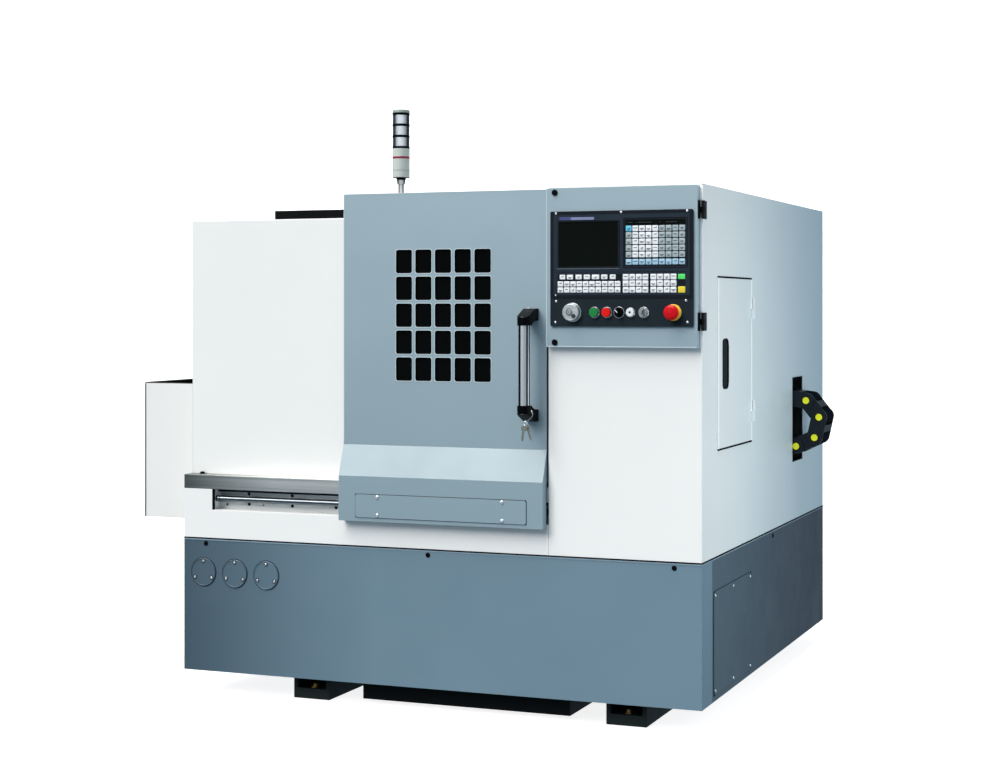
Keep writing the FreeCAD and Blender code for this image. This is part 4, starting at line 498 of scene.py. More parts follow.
        # Lamp pole: bright in the middle and dark at its edges, a painted reflection.
        self.lamp_pole_painted_reflection = Lens("lamp_pole_painted_reflection", srgb(240, 244, 246), srgb(24, 34, 38)).material()
        self.ring_red = Moulding("red_lamp_ring", srgb(146, 24, 62), 0.35).material()
        # Grey of the lamp's cap, and also the band in the body's seam as painted shade.
        self.cap_grey_and_seam_shade = Moulding("grey_lamp_cap_and_seam_shade", srgb(146, 156, 151), 0.4).material()


# ---------------------------------------------------------------- building and dressing
def paint(material: Material, *nodes: str) -> None:
    """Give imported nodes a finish.

    Args:
        material: The finish.
        nodes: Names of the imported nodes.
    """
    for name in nodes:
        mesh = frame["nodes"][name].data
        mesh.materials.clear()
        mesh.materials.append(material)


def add_rounding(piece: bpy.types.Object, width: float) -> None:
    """Round a piece's sharp edges by a width in metres."""
    edge = piece.modifiers.new("edges", "BEVEL")
    edge.width = width
    edge.segments = EDGE_STEPS
    edge.limit_method = "ANGLE"
    edge.angle_limit = EDGE_ANGLE
    edge.harden_normals = True


def soften(width: float, *nodes: str) -> None:
    """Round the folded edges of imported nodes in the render.

    Args:
        width: Width of the rounding, in metres.
        nodes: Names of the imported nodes.
    """
    for name in nodes:
        weld = frame["nodes"][name].modifiers.new("joined", "WELD")
        weld.merge_threshold = WELD_REACH
        add_rounding(frame["nodes"][name], width)


def corner(node: str) -> Vector:
    """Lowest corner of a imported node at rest."""
    return Vector(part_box(node)[0])


def far_corner(node: str) -> Vector:
    """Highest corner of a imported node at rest."""
    return Vector(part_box(node)[1])


def piece_from(name: str, mesh: Mesh, material: Material, body: Body,
               edge: float = 0.0) -> bpy.types.Object:
    """Turn a finished mesh into a piece that rides on a body.

    Args:
        name: Piece's name.
        mesh: Its mesh, in the shared frame.
        material: Its finish.
        body: Body that it moves with.
        edge: Width of the rounding of its sharp edges, in metres.

    Returns:
        The piece.
    """
    bmesh.ops.recalc_face_normals(mesh, faces=mesh.faces)
    data = bpy.data.meshes.new(name)
    mesh.to_mesh(data)
    mesh.free()
    data.materials.append(material)
    piece = bpy.data.objects.new(name, data)
    bpy.context.scene.collection.objects.link(piece)
    for face in data.polygons:
        face.use_smooth = True
    data.set_sharp_from_angle(angle=SMOOTH_ANGLE)
    if edge > 0.0:
        add_rounding(piece, edge)
    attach(piece, body.value)
    return piece


def turns(sides: int) -> List[float]:
    """Angles of a full turn in equal steps, in radians."""
    return [2.0 * math.pi * step / sides for step in range(sides)]


def bridge(mesh: Mesh, first: Loop, second: Loop) -> None:
    """Close the band between two closed loops of as many vertices."""
    for step in range(len(first)):
        after = (step + 1) % len(first)
        mesh.faces.new((first[step], first[after], second[after], second[step]))


def leaned(points: Outline, lean: float) -> List[Tuple[float, float]]:
    """Outline turned about its zero by an angle in radians."""
    return [(u * math.cos(lean) - v * math.sin(lean), u * math.sin(lean) + v * math.cos(lean))
            for u, v in points]


def add_turned(mesh: Mesh, profile: Outline, at: Vector, axis: Axis, sides: int = 32,
               flip: bool = False) -> None:
    """Turn a profile about an axis and add it to a mesh.

    Args:
        mesh: Mesh to add to.
        profile: Points (radius, distance along the axis).
        at: Point on the axis that distances are measured from.
        axis: Direction of the axis.
        sides: Steps round the axis.
        flip: Measure distances the other way.
    """
    way = axis.value * (-1.0 if flip else 1.0)
    across = Vector((0.0, 0.0, 1.0)) if axis is not Axis.Z else Vector((1.0, 0.0, 0.0))
    other = way.cross(across)
    rings: List[Loop] = []
    for radius, along in profile:
        middle = at + way * along
        if radius < POINT_RADIUS:
            rings.append([mesh.verts.new(middle)])
            continue
        rings.append([mesh.verts.new(middle + (across * math.cos(t) + other * math.sin(t)) * radius)
                      for t in turns(sides)])
    for first, second in zip(rings, rings[1:]):
        for step in range(sides):
            following = (step + 1) % sides
            corners = [first[step % len(first)], first[following % len(first)],
                       second[following % len(second)], second[step % len(second)]]
            corners = list(dict.fromkeys(corners))
            if len(corners) > 2:
                mesh.faces.new(corners)


def add_tube(mesh: Mesh, points: Sequence[Vector], radius: float, sides: int = 10,
             closed: bool = False) -> None:
    """Sweep a round section along a bent wire and add it to a mesh.

    Args:
        mesh: Mesh to add to.
        points: Points along the wire's middle.
        radius: Wire's radius.
        sides: Steps round the section.
        closed: True where the wire's ends meet.
    """
    count = len(points)
    across = Vector((0.0, 0.0, 1.0))
    rings = []
    for step, point in enumerate(points):
        before = points[step - 1] if step or closed else point
        after = points[(step + 1) % count] if step < count - 1 or closed else point
        way = (after - before).normalized()
        across = (across - way * across.dot(way)).normalized()
        other = way.cross(across)
        rings.append([mesh.verts.new(point + (across * math.cos(t) + other * math.sin(t)) * radius)
                      for t in turns(sides)])
    pairs = list(zip(rings, rings[1:])) + ([(rings[-1], rings[0])] if closed else [])
    for first, second in pairs:
        bridge(mesh, first, second)
    if not closed:
        mesh.faces.new(rings[0])
        mesh.faces.new(rings[-1])


def add_block(mesh: Mesh, low: Vector, high: Vector) -> None:
    """Add a box between two corners to a mesh."""
    made = bmesh.ops.create_cube(mesh, size=1.0)["verts"]
    bmesh.ops.scale(mesh, vec=high - low, verts=made)
    bmesh.ops.translate(mesh, vec=(low + high) / 2.0, verts=made)


def rounded_outline(width: float, height: float, radius: float, steps: int = 5) -> List[Tuple[float, float]]:
    """Outline of a rectangle with round corners, centred on zero.

    Args:
        width: Full width.
        height: Full height.
        radius: Corner radius.
        steps: Steps round each corner.

    Returns:
        Points in order round the outline.
    """
    points = []
    for turn, (sx, sy) in enumerate(((1, 1), (-1, 1), (-1, -1), (1, -1))):
        cx = sx * (width / 2 - radius)
        cy = sy * (height / 2 - radius)
        for step in range(steps + 1):
            angle = math.pi / 2 * (turn + step / steps)
            points.append((cx + radius * math.cos(angle), cy + radius * math.sin(angle)))
    return points


def add_plate(mesh: Mesh, outline: Outline, at: Vector, axis: Axis, thickness: float,
              hole: Optional[Outline] = None) -> None:
    """Push an outline, with an optional hole of as many points, along an axis.

    Args:
        mesh: Mesh to add to.
        outline: Points round the plate.
        at: Where the outline's zero lies, on the face that the axis points away from.
        axis: Axis that the plate is thick along.
        thickness: Its thickness.
        hole: Points round the hole, in step with the outline.
    """
    across, up = {Axis.X: (Axis.Y.value, Axis.Z.value), Axis.Y: (Axis.X.value, Axis.Z.value),
                  Axis.Z: (Axis.X.value, Axis.Y.value)}[axis]

    def loop(points: Outline, depth: float) -> Loop:
        """Vertices of one outline at a depth."""
        return [mesh.verts.new(at + across * u + up * v + axis.value * depth) for u, v in points]

    near, far = loop(outline, 0.0), loop(outline, thickness)
    bridge(mesh, near, far)
    if hole is None:
        mesh.faces.new(near)
        mesh.faces.new(far)
        return
    inner_near, inner_far = loop(hole, 0.0), loop(hole, thickness)
    bridge(mesh, inner_near, inner_far)
    bridge(mesh, near, inner_near)
    bridge(mesh, far, inner_far)


@dataclass
class Screw:
    """Round-headed machine screw with a recessed drive."""

    radius: float = 0.0045
    rise: float = 0.0022

    def add(self, mesh: Mesh, at: Vector, axis: Axis, flip: bool = True) -> None:
        """Add the head at a point.

        Args:
            mesh: Mesh to add to.
            at: Middle of the head's seat.
            axis: Axis that the screw lies along.
            flip: True where the head looks against the axis.
        """
        r, h = self.radius, self.rise
        profile = [(r, -0.0004), (r, h * 0.3), (r * 0.82, h * 0.78), (r * 0.5, h), (r * 0.42, h * 0.98),
                   (r * 0.36, h * 0.45), (0.0, h * 0.4)]
        add_turned(mesh, profile, at, axis, 16, flip)


# ---------------------------------------------------------------- stage
@dataclass(frozen=True)
class Softbox:
    """Soft rectangular light that is hidden from the camera itself."""

    name: str
    at: Tuple[float, float, float]
    towards: Tuple[float, float, float]
    size: Tuple[float, float]
    power: float
    colour: Colour = (1.0, 1.0, 1.0)

    def place(self) -> None:
        """Create the light and point it at its target."""
        data = bpy.data.lights.new(self.name, "AREA")
        data.shape = "RECTANGLE"
        data.size, data.size_y = self.size
        data.energy = self.power
        data.color = self.colour
        lamp = bpy.data.objects.new(self.name, data)
        lamp.location = self.at
        way = Vector(self.towards) - Vector(self.at)
        lamp.rotation_euler = way.to_track_quat("-Z", "Y").to_euler()
        lamp.visible_camera = False
        bpy.context.scene.collection.objects.link(lamp)


@dataclass(frozen=True)
class Dome:
    """Very large and far soft light, the same over the whole machine."""

    name: str
    azimuth: float
    elevation: float
    spread: float
    power: float
    colour: Colour = (1.0, 1.0, 1.0)

    def place(self) -> None:
        """Create the light; its azimuth counts to the right of the machine's front."""
        turn, lift = math.radians(self.azimuth), math.radians(self.elevation)
        out = Vector((math.sin(turn) * math.cos(lift), -math.cos(turn) * math.cos(lift), math.sin(lift)))
        data = bpy.data.lights.new(self.name, "SUN")
        data.energy = self.power
        data.angle = math.radians(self.spread)
        data.color = self.colour
        lamp = bpy.data.objects.new(self.name, data)
        lamp.location = out * 6.0
        lamp.rotation_euler = (-out).to_track_quat("-Z", "Y").to_euler()
        bpy.context.scene.collection.objects.link(lamp)


@dataclass
class Studio:
    """Level camera of the photograph, soft lights and a plain pale floor."""

    eye: Tuple[float, float, float] = (2.04343, -5.08366, 1.14149)
    turn: float = 19.58
    lens: float = 61.95
    shift: Tuple[float, float] = (-0.12, -0.0754)
    sky: Colour = (0.66, 0.84, 1.0)
    sky_strength: float = 0.34
    floor_glow: float = 0.86
    floor_tone: Colour = (0.5, 0.503, 0.508)
    floor_flat: float = 9.0
    floor_bend: float = 6.0
    floor_bend_steps: int = 12
    floor_wall: float = 18.0
    floor_sides: int = 96
    key: Dome = Dome("key", -28.0, 37.0, 34.0, 2.43, (1.0, 0.95, 0.9))
    overhead: Dome = Dome("overhead", -35.0, 74.0, 50.0, 3.2, (1.0, 0.93, 0.86))
    side: Softbox = Softbox("side", (1.75, -0.62, 0.85), (0.72, -0.5, 0.85), (0.7, 1.5), 10.0,
                            (0.88, 0.93, 0.92))

    def place_camera(self) -> None:
        """Create the camera and make it the scene's."""
        data = bpy.data.cameras.new("camera")
        data.sensor_width = 36.0
        data.lens = self.lens
        data.shift_x, data.shift_y = self.shift
        camera = bpy.data.objects.new("camera", data)
        camera.location = self.eye
        camera.rotation_euler = (math.radians(90.0), 0.0, math.radians(self.turn))
        bpy.context.scene.collection.objects.link(camera)
        bpy.context.scene.camera = camera

    def place_floor(self) -> None:
        """Create the floor, a wide round dish that curves up far from the machine."""
        mesh = bmesh.new()
        profile = [(self.floor_flat - 0.2, 0.0), (self.floor_flat, 0.0)]
        for step in range(1, self.floor_bend_steps + 1):
            angle = math.pi / 2 * step / self.floor_bend_steps
            profile.append((self.floor_flat + self.floor_bend * math.sin(angle),
                            self.floor_bend * (1.0 - math.cos(angle))))
        profile.append((self.floor_flat + self.floor_bend, self.floor_wall))
        rows = [[mesh.verts.new((radius * math.cos(t), radius * math.sin(t), z))
                 for t in turns(self.floor_sides)] for radius, z in profile]
        mesh.faces.new(rows[0])
        for first, second in zip(rows, rows[1:]):
            bridge(mesh, second, first)
        data = bpy.data.meshes.new("floor")
        mesh.to_mesh(data)
        mesh.free()
        for face in data.polygons:
            face.use_smooth = True
        shade = Shade("pale_floor", 0.6)
        shade.colour(shade.drifting(self.floor_tone, 0.8, 0.015))
        shade.surface.inputs["Emission Color"].default_value = (1.0, 1.0, 1.0, 1.0)
        shade.set("Emission Strength", self.floor_glow)
        data.materials.append(shade.material)
        floor = bpy.data.objects.new("floor", data)
        floor.visible_diffuse = False
        floor.visible_glossy = False
        floor.visible_shadow = False
        bpy.context.scene.collection.objects.link(floor)

    def build(self) -> None:
        """Create the whole stage."""
        scene = bpy.context.scene
        scene.view_settings.view_transform = "Standard"
        world = bpy.data.worlds.new("sky")
        world.use_nodes = True
        back = world.node_tree.nodes["Background"]
        back.inputs["Color"].default_value = (*self.sky, 1.0)
        back.inputs["Strength"].default_value = self.sky_strength
        scene.world = world
        self.place_camera()
        self.place_floor()
        for light in (self.key, self.overhead, self.side):
            light.place()


# ---------------------------------------------------------------- sub-assemblies
@dataclass
class Plinth:
    """Blue-grey base with its feet, round covers, plugs and screwed side cover."""

    screw: Screw = field(default_factory=lambda: Screw(0.0042, 0.0024))
    screw_circle: float = 0.0324
    screw_angles: Tuple[float, ...] = (90.0, 210.0, 330.0)
    cover_places: Tuple[float, ...] = (-0.813, -0.7075, -0.602)
    cover_height: float = 0.363
    plug_places: Tuple[float, ...] = (-0.805, -0.0825, 0.643)
    plug_height: float = 0.447
    side_plug: float = 0.032
    side_plug_drop: float = 0.003
    side_screw_inset: Tuple[float, float] = (0.013, 0.012)
    # Sizes of the dark ring of painted shadow round the side cover.
    side_shadow_proud: float = 0.003
    side_shadow_wide: float = 0.01
    seam_wide: float = 0.008
    foot_places: Tuple[float, ...] = (-0.4865, 0.4865)
    foot_ends: Tuple[float, ...] = (-0.628, 0.628)
    pocket_floor: float = 0.030

    def add_covers(self, kit: Finishes) -> None:
        """Ring each round cover with a dark band of painted shadow and a rolled rim, and screw it on over
        dark washers of painted shadow.
        """
        front = corner("plinth_front").y
        face = corner("round_covers").y
        # The first profile is the dark band round each cover, a painted shadow; the second is the cover's
        # rolled rim.
        ring = [(0.0412, -0.0003), (0.0434, -0.0003), (0.0434, 0.0006), (0.0412, 0.0012), (0.0412, -0.0003)]
        roll = [(0.0384, -0.0004), (0.0386, 0.0007), (0.0396, 0.0013), (0.0406, 0.0007), (0.0408, -0.0004),
                (0.0384, -0.0004)]
        # Dark disc under each screw: painted shadow.
        shadow_washer = [(0.0, 0.0005), (0.0060, 0.0005), (0.0060, -0.0003)]
        shadow_rings, rims, screws, shadow_washers = bmesh.new(), bmesh.new(), bmesh.new(), bmesh.new()
        for x in self.cover_places:
            add_turned(shadow_rings, ring, Vector((x, front, self.cover_height)), Axis.Y, 48, True)
            add_turned(rims, roll, Vector((x, face, self.cover_height)), Axis.Y, 48, True)
            for angle in self.screw_angles:
                turn = math.radians(angle)
                offset = Vector((math.cos(turn), 0.0, math.sin(turn))) * self.screw_circle
                seat = Vector((x, face, self.cover_height)) + offset
                add_turned(shadow_washers, shadow_washer, seat, Axis.Y, 20, True)
                self.screw.add(screws, seat, Axis.Y)
        piece_from("round_cover_gaskets", shadow_rings, kit.seam, Body.BASE)
        piece_from("round_cover_rims", rims, kit.plinth_face, Body.BASE)
        piece_from("round_cover_washers", shadow_washers, kit.gasket, Body.BASE)
        piece_from("round_cover_screws", screws, kit.nickel, Body.BASE)

    def add_plugs(self, kit: Finishes) -> None:
        """Push a black plug into each lifting hole of the front and the right side."""
        plugs = bmesh.new()
        dome = [(0.0072, -0.0004), (0.0072, 0.0008), (0.0064, 0.0017), (0.0046, 0.0021), (0.0042, 0.0015),
                (0.0, 0.0013)]
        for x in self.plug_places:
            add_turned(plugs, dome, Vector((x, corner("plinth_front").y, self.plug_height)), Axis.Y, 28, True)
        side = Vector((far_corner("plinth_base").x, self.side_plug, self.plug_height - self.side_plug_drop))
        add_turned(plugs, dome, side, Axis.X, 28)
        piece_from("plinth_plugs", plugs, kit.black_plastic, Body.BASE)

    def add_side_screws(self, kit: Finishes) -> None:
        """Screw the side cover on at its corners and middles."""
        low, high = corner("side_access_cover"), far_corner("side_access_cover")
        screws = bmesh.new()
        inset_y, inset_z = self.side_screw_inset
        for y in (low.y + inset_y, (low.y + high.y) / 2.0, high.y - inset_y):
            for z in (low.z + inset_z, high.z - inset_z):
                self.screw.add(screws, Vector((high.x, y, z)), Axis.X, False)
        piece_from("side_cover_screws", screws, kit.nickel, Body.BASE)
        # Dark ring round the side cover: painted shadow at its edge.
        edge = bmesh.new()
        width, height = high.y - low.y + self.side_shadow_proud, high.z - low.z + self.side_shadow_proud
        middle = (low + high) / 2.0
        outline = rounded_outline(width, height, 0.004)
        hole = rounded_outline(width - self.side_shadow_wide, height - self.side_shadow_wide, 0.002)
        add_plate(edge, outline, Vector((low.x - 0.0006, middle.y, middle.z)), Axis.X, 0.0012, hole)
        piece_from("side_cover_gasket", edge, kit.seam, Body.BASE)

    def add_seam(self, kit: Finishes) -> None:
        """Lay a dark band of painted shadow between the plinth and the enclosure, over a lighter band of
        painted highlight on the plinth's top edge.
        """
        low, high = corner("plinth_base"), far_corner("plinth_base")
        front = corner("plinth_front").y
        middle = Vector(((low.x + high.x) / 2.0, (front + high.y) / 2.0, 0.0))
        width, depth = high.x - low.x, high.y - front
        top = corner("right_cabinet").z
        # The dark band is painted shadow in the seam; the lighter band under it is painted highlight on the
        # plinth's top edge.
        for name, drop, thick, proud, finish, slot in (
                ("plinth_seal", 0.002, 0.0042, 0.0008, kit.gasket, Slot.RUBBER),
                ("plinth_edge_bead", 0.0052, 0.0032, 0.0012, kit.edge_highlight, Slot.PLINTH)):
            mesh = bmesh.new()
            outline = rounded_outline(width + 2.0 * proud, depth + proud, 0.003)
            hole = rounded_outline(width - self.seam_wide, depth - self.seam_wide, 0.002)
            at = Vector((middle.x, middle.y - proud / 2, top - drop))
            add_plate(mesh, outline, at, Axis.Z, thick, hole)
            piece_from(name, mesh, finish, Body.BASE)

    def add_levelling(self, kit: Finishes) -> None:
        """Stand a levelling screw with its washer in each pocket of the feet."""
        bolts = bmesh.new()
        head = [(0.015, 0.0), (0.015, 0.0025), (0.0092, 0.0027), (0.0092, 0.0105), (0.0078, 0.012),
                (0.0, 0.012)]
        for x in self.foot_places:
            for y in self.foot_ends:
                add_turned(bolts, head, Vector((x, y, self.pocket_floor)), Axis.Z, 6)
        piece_from("levelling_screws", bolts, kit.brass, Body.BASE, 0.0004)

    def build(self, kit: Finishes) -> None:
        """Dress the base."""
        paint(kit.plinth, "plinth_base", "side_access_cover")
        paint(kit.plinth_face, "plinth_front", "round_covers")
        paint(kit.black, "coolant_sump")
        paint(kit.foot, "foot_rails")
        soften(0.0012, "side_access_cover", "foot_rails")
        self.add_covers(kit)
        self.add_plugs(kit)
        self.add_side_screws(kit)
        self.add_seam(kit)
        self.add_levelling(kit)


@dataclass
class WhiteBody:
    """White sheet-metal enclosure with its rail strip, side door, roof rail and tail hood."""

    screw: Screw = field(default_factory=lambda: Screw(0.0038, 0.0018))
    side_screws: Tuple[Tuple[float, float], ...] = ((-0.553, 1.080), (-0.553, 0.800), (-0.238, 0.810))
    line: float = 0.0050
    lip: float = 0.0098
    corner_bead: Tuple[Tuple[float, float], ...] = ((1.037, 1.078), (1.130, 1.375), (1.427, 1.4655))
    hood_fold: float = 0.0062
    # Sizes of the matte black ring and strip of painted shade on the hood's open top.
    hood_shade_gap: float = 0.004
    hood_shade_wide: float = 0.0244
    hood_shade_drop: float = 0.026
    recess_end: float = 0.270
    recess_start: float = 0.014
    knuckle: float = 0.0083
    slot_low: Tuple[float, float] = (-0.527, 0.917)
    slot_high: Tuple[float, float] = (-0.464, 1.055)
    recess_screws: Tuple[Tuple[float, float, float], ...] = (
        (-0.6866, 0.592, 0.0050), (-0.5415, 0.592, 0.0050), (-0.6866, 0.5618, 0.0048),
        (-0.5415, 0.5618, 0.0048), (-0.3974, 0.563, 0.0048), (-0.7607, 0.559, 0.0032),
        (-0.6376, 0.5607, 0.0022))
    stop_place: Tuple[float, float] = (-0.840, -0.681)

    def add_door_lines(self, kit: Finishes) -> None:
        """Run dark strips of painted shadow along the side door's level edges and white wedges of painted
        highlight along its upright ones.
        """
        low, high = corner("access_door"), far_corner("access_door")
        face = far_corner("right_cabinet").x
        rear = high.y - self.knuckle
        shadow_strips, highlight_lips = bmesh.new(), bmesh.new()
        # Dark strips along the level edges: painted shadow in the gaps.
        for z in (low.z, high.z - self.line):
            add_block(shadow_strips, Vector((face + 0.001, low.y, z)), Vector((face + 0.0030, rear, z + self.line)))
        # White wedges along the upright edges: painted highlight.
        ramp = ((0.0004, -0.0008), (0.0036, 0.0092), (0.0008, self.lip))
        for y in (low.y, rear - self.lip):
            at = Vector((face, y, low.z + self.line))
            add_plate(highlight_lips, ramp, at, Axis.Z, high.z - low.z - 2 * self.line)
        piece_from("side_door_seals", shadow_strips, kit.gasket, Body.SIDE_DOOR, 0.0003)
        piece_from("side_door_lips", highlight_lips, kit.bright_edge, Body.SIDE_DOOR)

    def add_corner_highlight(self, kit: Finishes) -> None:
        """Lay white strips of painted highlight on the cabinet's front edge beside the panel, between its
        hinges.
        """
        edge = far_corner("right_cabinet").x
        front = corner("right_cabinet").y
        edge_highlight = bmesh.new()
        for z0, z1 in self.corner_bead:
            add_block(edge_highlight, Vector((edge - 0.0055, front - 0.0012, z0)),
                      Vector((edge + 0.0028, front + 0.0012, z1)))
        piece_from("corner_bead", edge_highlight, kit.bright_edge, Body.BASE, 0.0006)

    def add_hood_edge(self, kit: Finishes) -> None:
        """Turn the hood's left edge in grey sheet, and lay matte black round its open top and down inside its
        left wall as painted shade.
        """
        low, high = corner("tail_hood"), far_corner("tail_hood")
        edge, trim = bmesh.new(), bmesh.new()
        add_block(edge, Vector((low.x, low.y - 0.0006, low.z)),
                  Vector((low.x + self.hood_fold, low.y + 0.0012, high.z - 0.003)))
        piece_from("hood_edge", edge, kit.zinc, Body.BASE, 0.0004)
        # The matte black ring and the strip inside the left wall are painted shade of the open top.
        width, depth = high.x - low.x, high.y - low.y
        outline = rounded_outline(width - self.hood_shade_gap, depth - self.hood_shade_gap, 0.004)
        hole = rounded_outline(width - self.hood_shade_wide, depth - self.hood_shade_wide, 0.003)
        at = Vector(((low.x + high.x) / 2, (low.y + high.y) / 2, high.z - 0.0004))
        add_plate(trim, outline, at, Axis.Z, 0.0016, hole)
        add_block(trim, Vector((low.x + 0.0021, low.y + 0.003, high.z - self.hood_shade_drop)),
                  Vector((low.x + 0.0030, high.y - 0.003, high.z - 0.0021)))
        piece_from("hood_trim", trim, kit.hood_trim, Body.BASE)

    def add_side_door(self, kit: Finishes) -> None:
        """Screw the side door's edges and glaze its sight slot."""
        door = corner("access_door").x
        screws = bmesh.new()
        for y, z in self.side_screws:
            self.screw.add(screws, Vector((door + 0.002, y, z)), Axis.X, False)
        piece_from("side_door_screws", screws, kit.white, Body.SIDE_DOOR)
        (y0, z0), (y1, z1) = self.slot_low, self.slot_high
        wide, tall = y1 - y0, z1 - z0
        glass, trim = bmesh.new(), bmesh.new()
        at = Vector((door, (y0 + y1) / 2.0, (z0 + z1) / 2.0))
        pane = rounded_outline(wide - 0.0004, tall - 0.0004, 0.0116, 8)
        add_plate(glass, pane, at + Vector((0.0002, 0, 0)), Axis.X, 0.0008)
        outline = rounded_outline(wide + 0.0005, tall + 0.003, 0.024, 8)
        hole = rounded_outline(wide - 0.010, tall - 0.006, 0.020, 8)
        add_plate(trim, outline, at + Vector((0.0014, 0, 0)), Axis.X, 0.0014, hole)
        piece_from("sight_slot_glass", glass, kit.pane, Body.SIDE_DOOR)
        piece_from("sight_slot_trim", trim, kit.black_plastic, Body.SIDE_DOOR, 0.0004)

    def add_strip_parts(self, kit: Finishes) -> None:
        """Fit the stop on the strip and the screws of the recess under it."""
        top = far_corner("rail_strip").z
        back = far_corner("guide_rod").y
        stop, screws = bmesh.new(), bmesh.new()
        cap = [(0.0075, -0.0005), (0.0075, 0.0032), (0.0062, 0.0056), (0.0030, 0.0066), (0.0, 0.0068)]
        add_turned(stop, cap, Vector((*self.stop_place, top)), Axis.Z, 20)
        piece_from("strip_stop", stop, kit.black_plastic, Body.BASE)
        for x, z, radius in self.recess_screws:
            Screw(radius, radius * 0.6).add(screws, Vector((x, back, z)), Axis.Y)
        piece_from("recess_screws", screws, kit.black, Body.BASE)

    def add_recess_parts(self, kit: Finishes) -> None:
        """Lay painted shadow under the strip and on the recess's left end, a rail plate painted darker to the
        left as painted shade, and a sleeve on the rod's left end.
        """
        strip, rod = corner("rail_strip"), corner("guide_rod")
        back = far_corner("guide_rod").y
        left = rod.x - self.recess_start
        strip_shadow, rail, end_shadow, sleeve = bmesh.new(), bmesh.new(), bmesh.new(), bmesh.new()
        # Black strip under the rail strip: painted shadow.
        add_block(strip_shadow, Vector((left, back - 0.012, strip.z - 0.0095)),
                  Vector((self.recess_end, back, strip.z)))
        piece_from("recess_wiper", strip_shadow, kit.gasket, Body.BASE, 0.0008)
        # Rail plate above the rod, its finish darker to the left: painted shade.
        add_block(rail, Vector((left + 0.001, back - 0.0010, rod.z + 0.016)),
                  Vector((self.recess_end, back, strip.z - 0.009)))
        piece_from("recess_rail", rail, kit.recess_rail, Body.BASE, 0.0004)
        # Black plate on the recess's left end wall: painted shade.
        front = strip.y + 0.0005
        add_block(end_shadow, Vector((left - 0.0004, front, rod.z - 0.0225)),
                  Vector((left + 0.0014, rod.y - 0.003, strip.z)))
        piece_from("rod_end_plate", end_shadow, kit.black, Body.BASE, 0.0004)
        centre = Vector((left, rod.y + 0.009, rod.z + 0.009))
        add_turned(sleeve, [(0.0, 0.0), (0.009, 0.0), (0.009, 0.0145), (0.0088, 0.0148)], centre, Axis.X, 32)
        piece_from("rod_end_sleeve", sleeve, kit.ground, Body.BASE)

    def build(self, kit: Finishes) -> None:
        """Dress the enclosure."""
        paint(kit.white, "front_sill", "left_cover", "left_side", "rear_sheet")
        paint(kit.cabinet, "right_cabinet", "access_door")
        paint(kit.hinge, "cabinet_hinges")
        paint(kit.hood, "tail_hood")
        paint(kit.black, "top_guide_rail", "panel_hinges")
        paint(kit.stainless, "rail_strip")
        paint(kit.ground, "guide_rod")
        soften(0.003, "right_cabinet", "left_cover")
        soften(0.0008, "front_sill", "tail_hood", "rail_strip", "top_guide_rail")
        self.add_door_lines(kit)
        self.add_corner_highlight(kit)
        self.add_hood_edge(kit)
        self.add_side_door(kit)
        self.add_strip_parts(kit)
        self.add_recess_parts(kit)


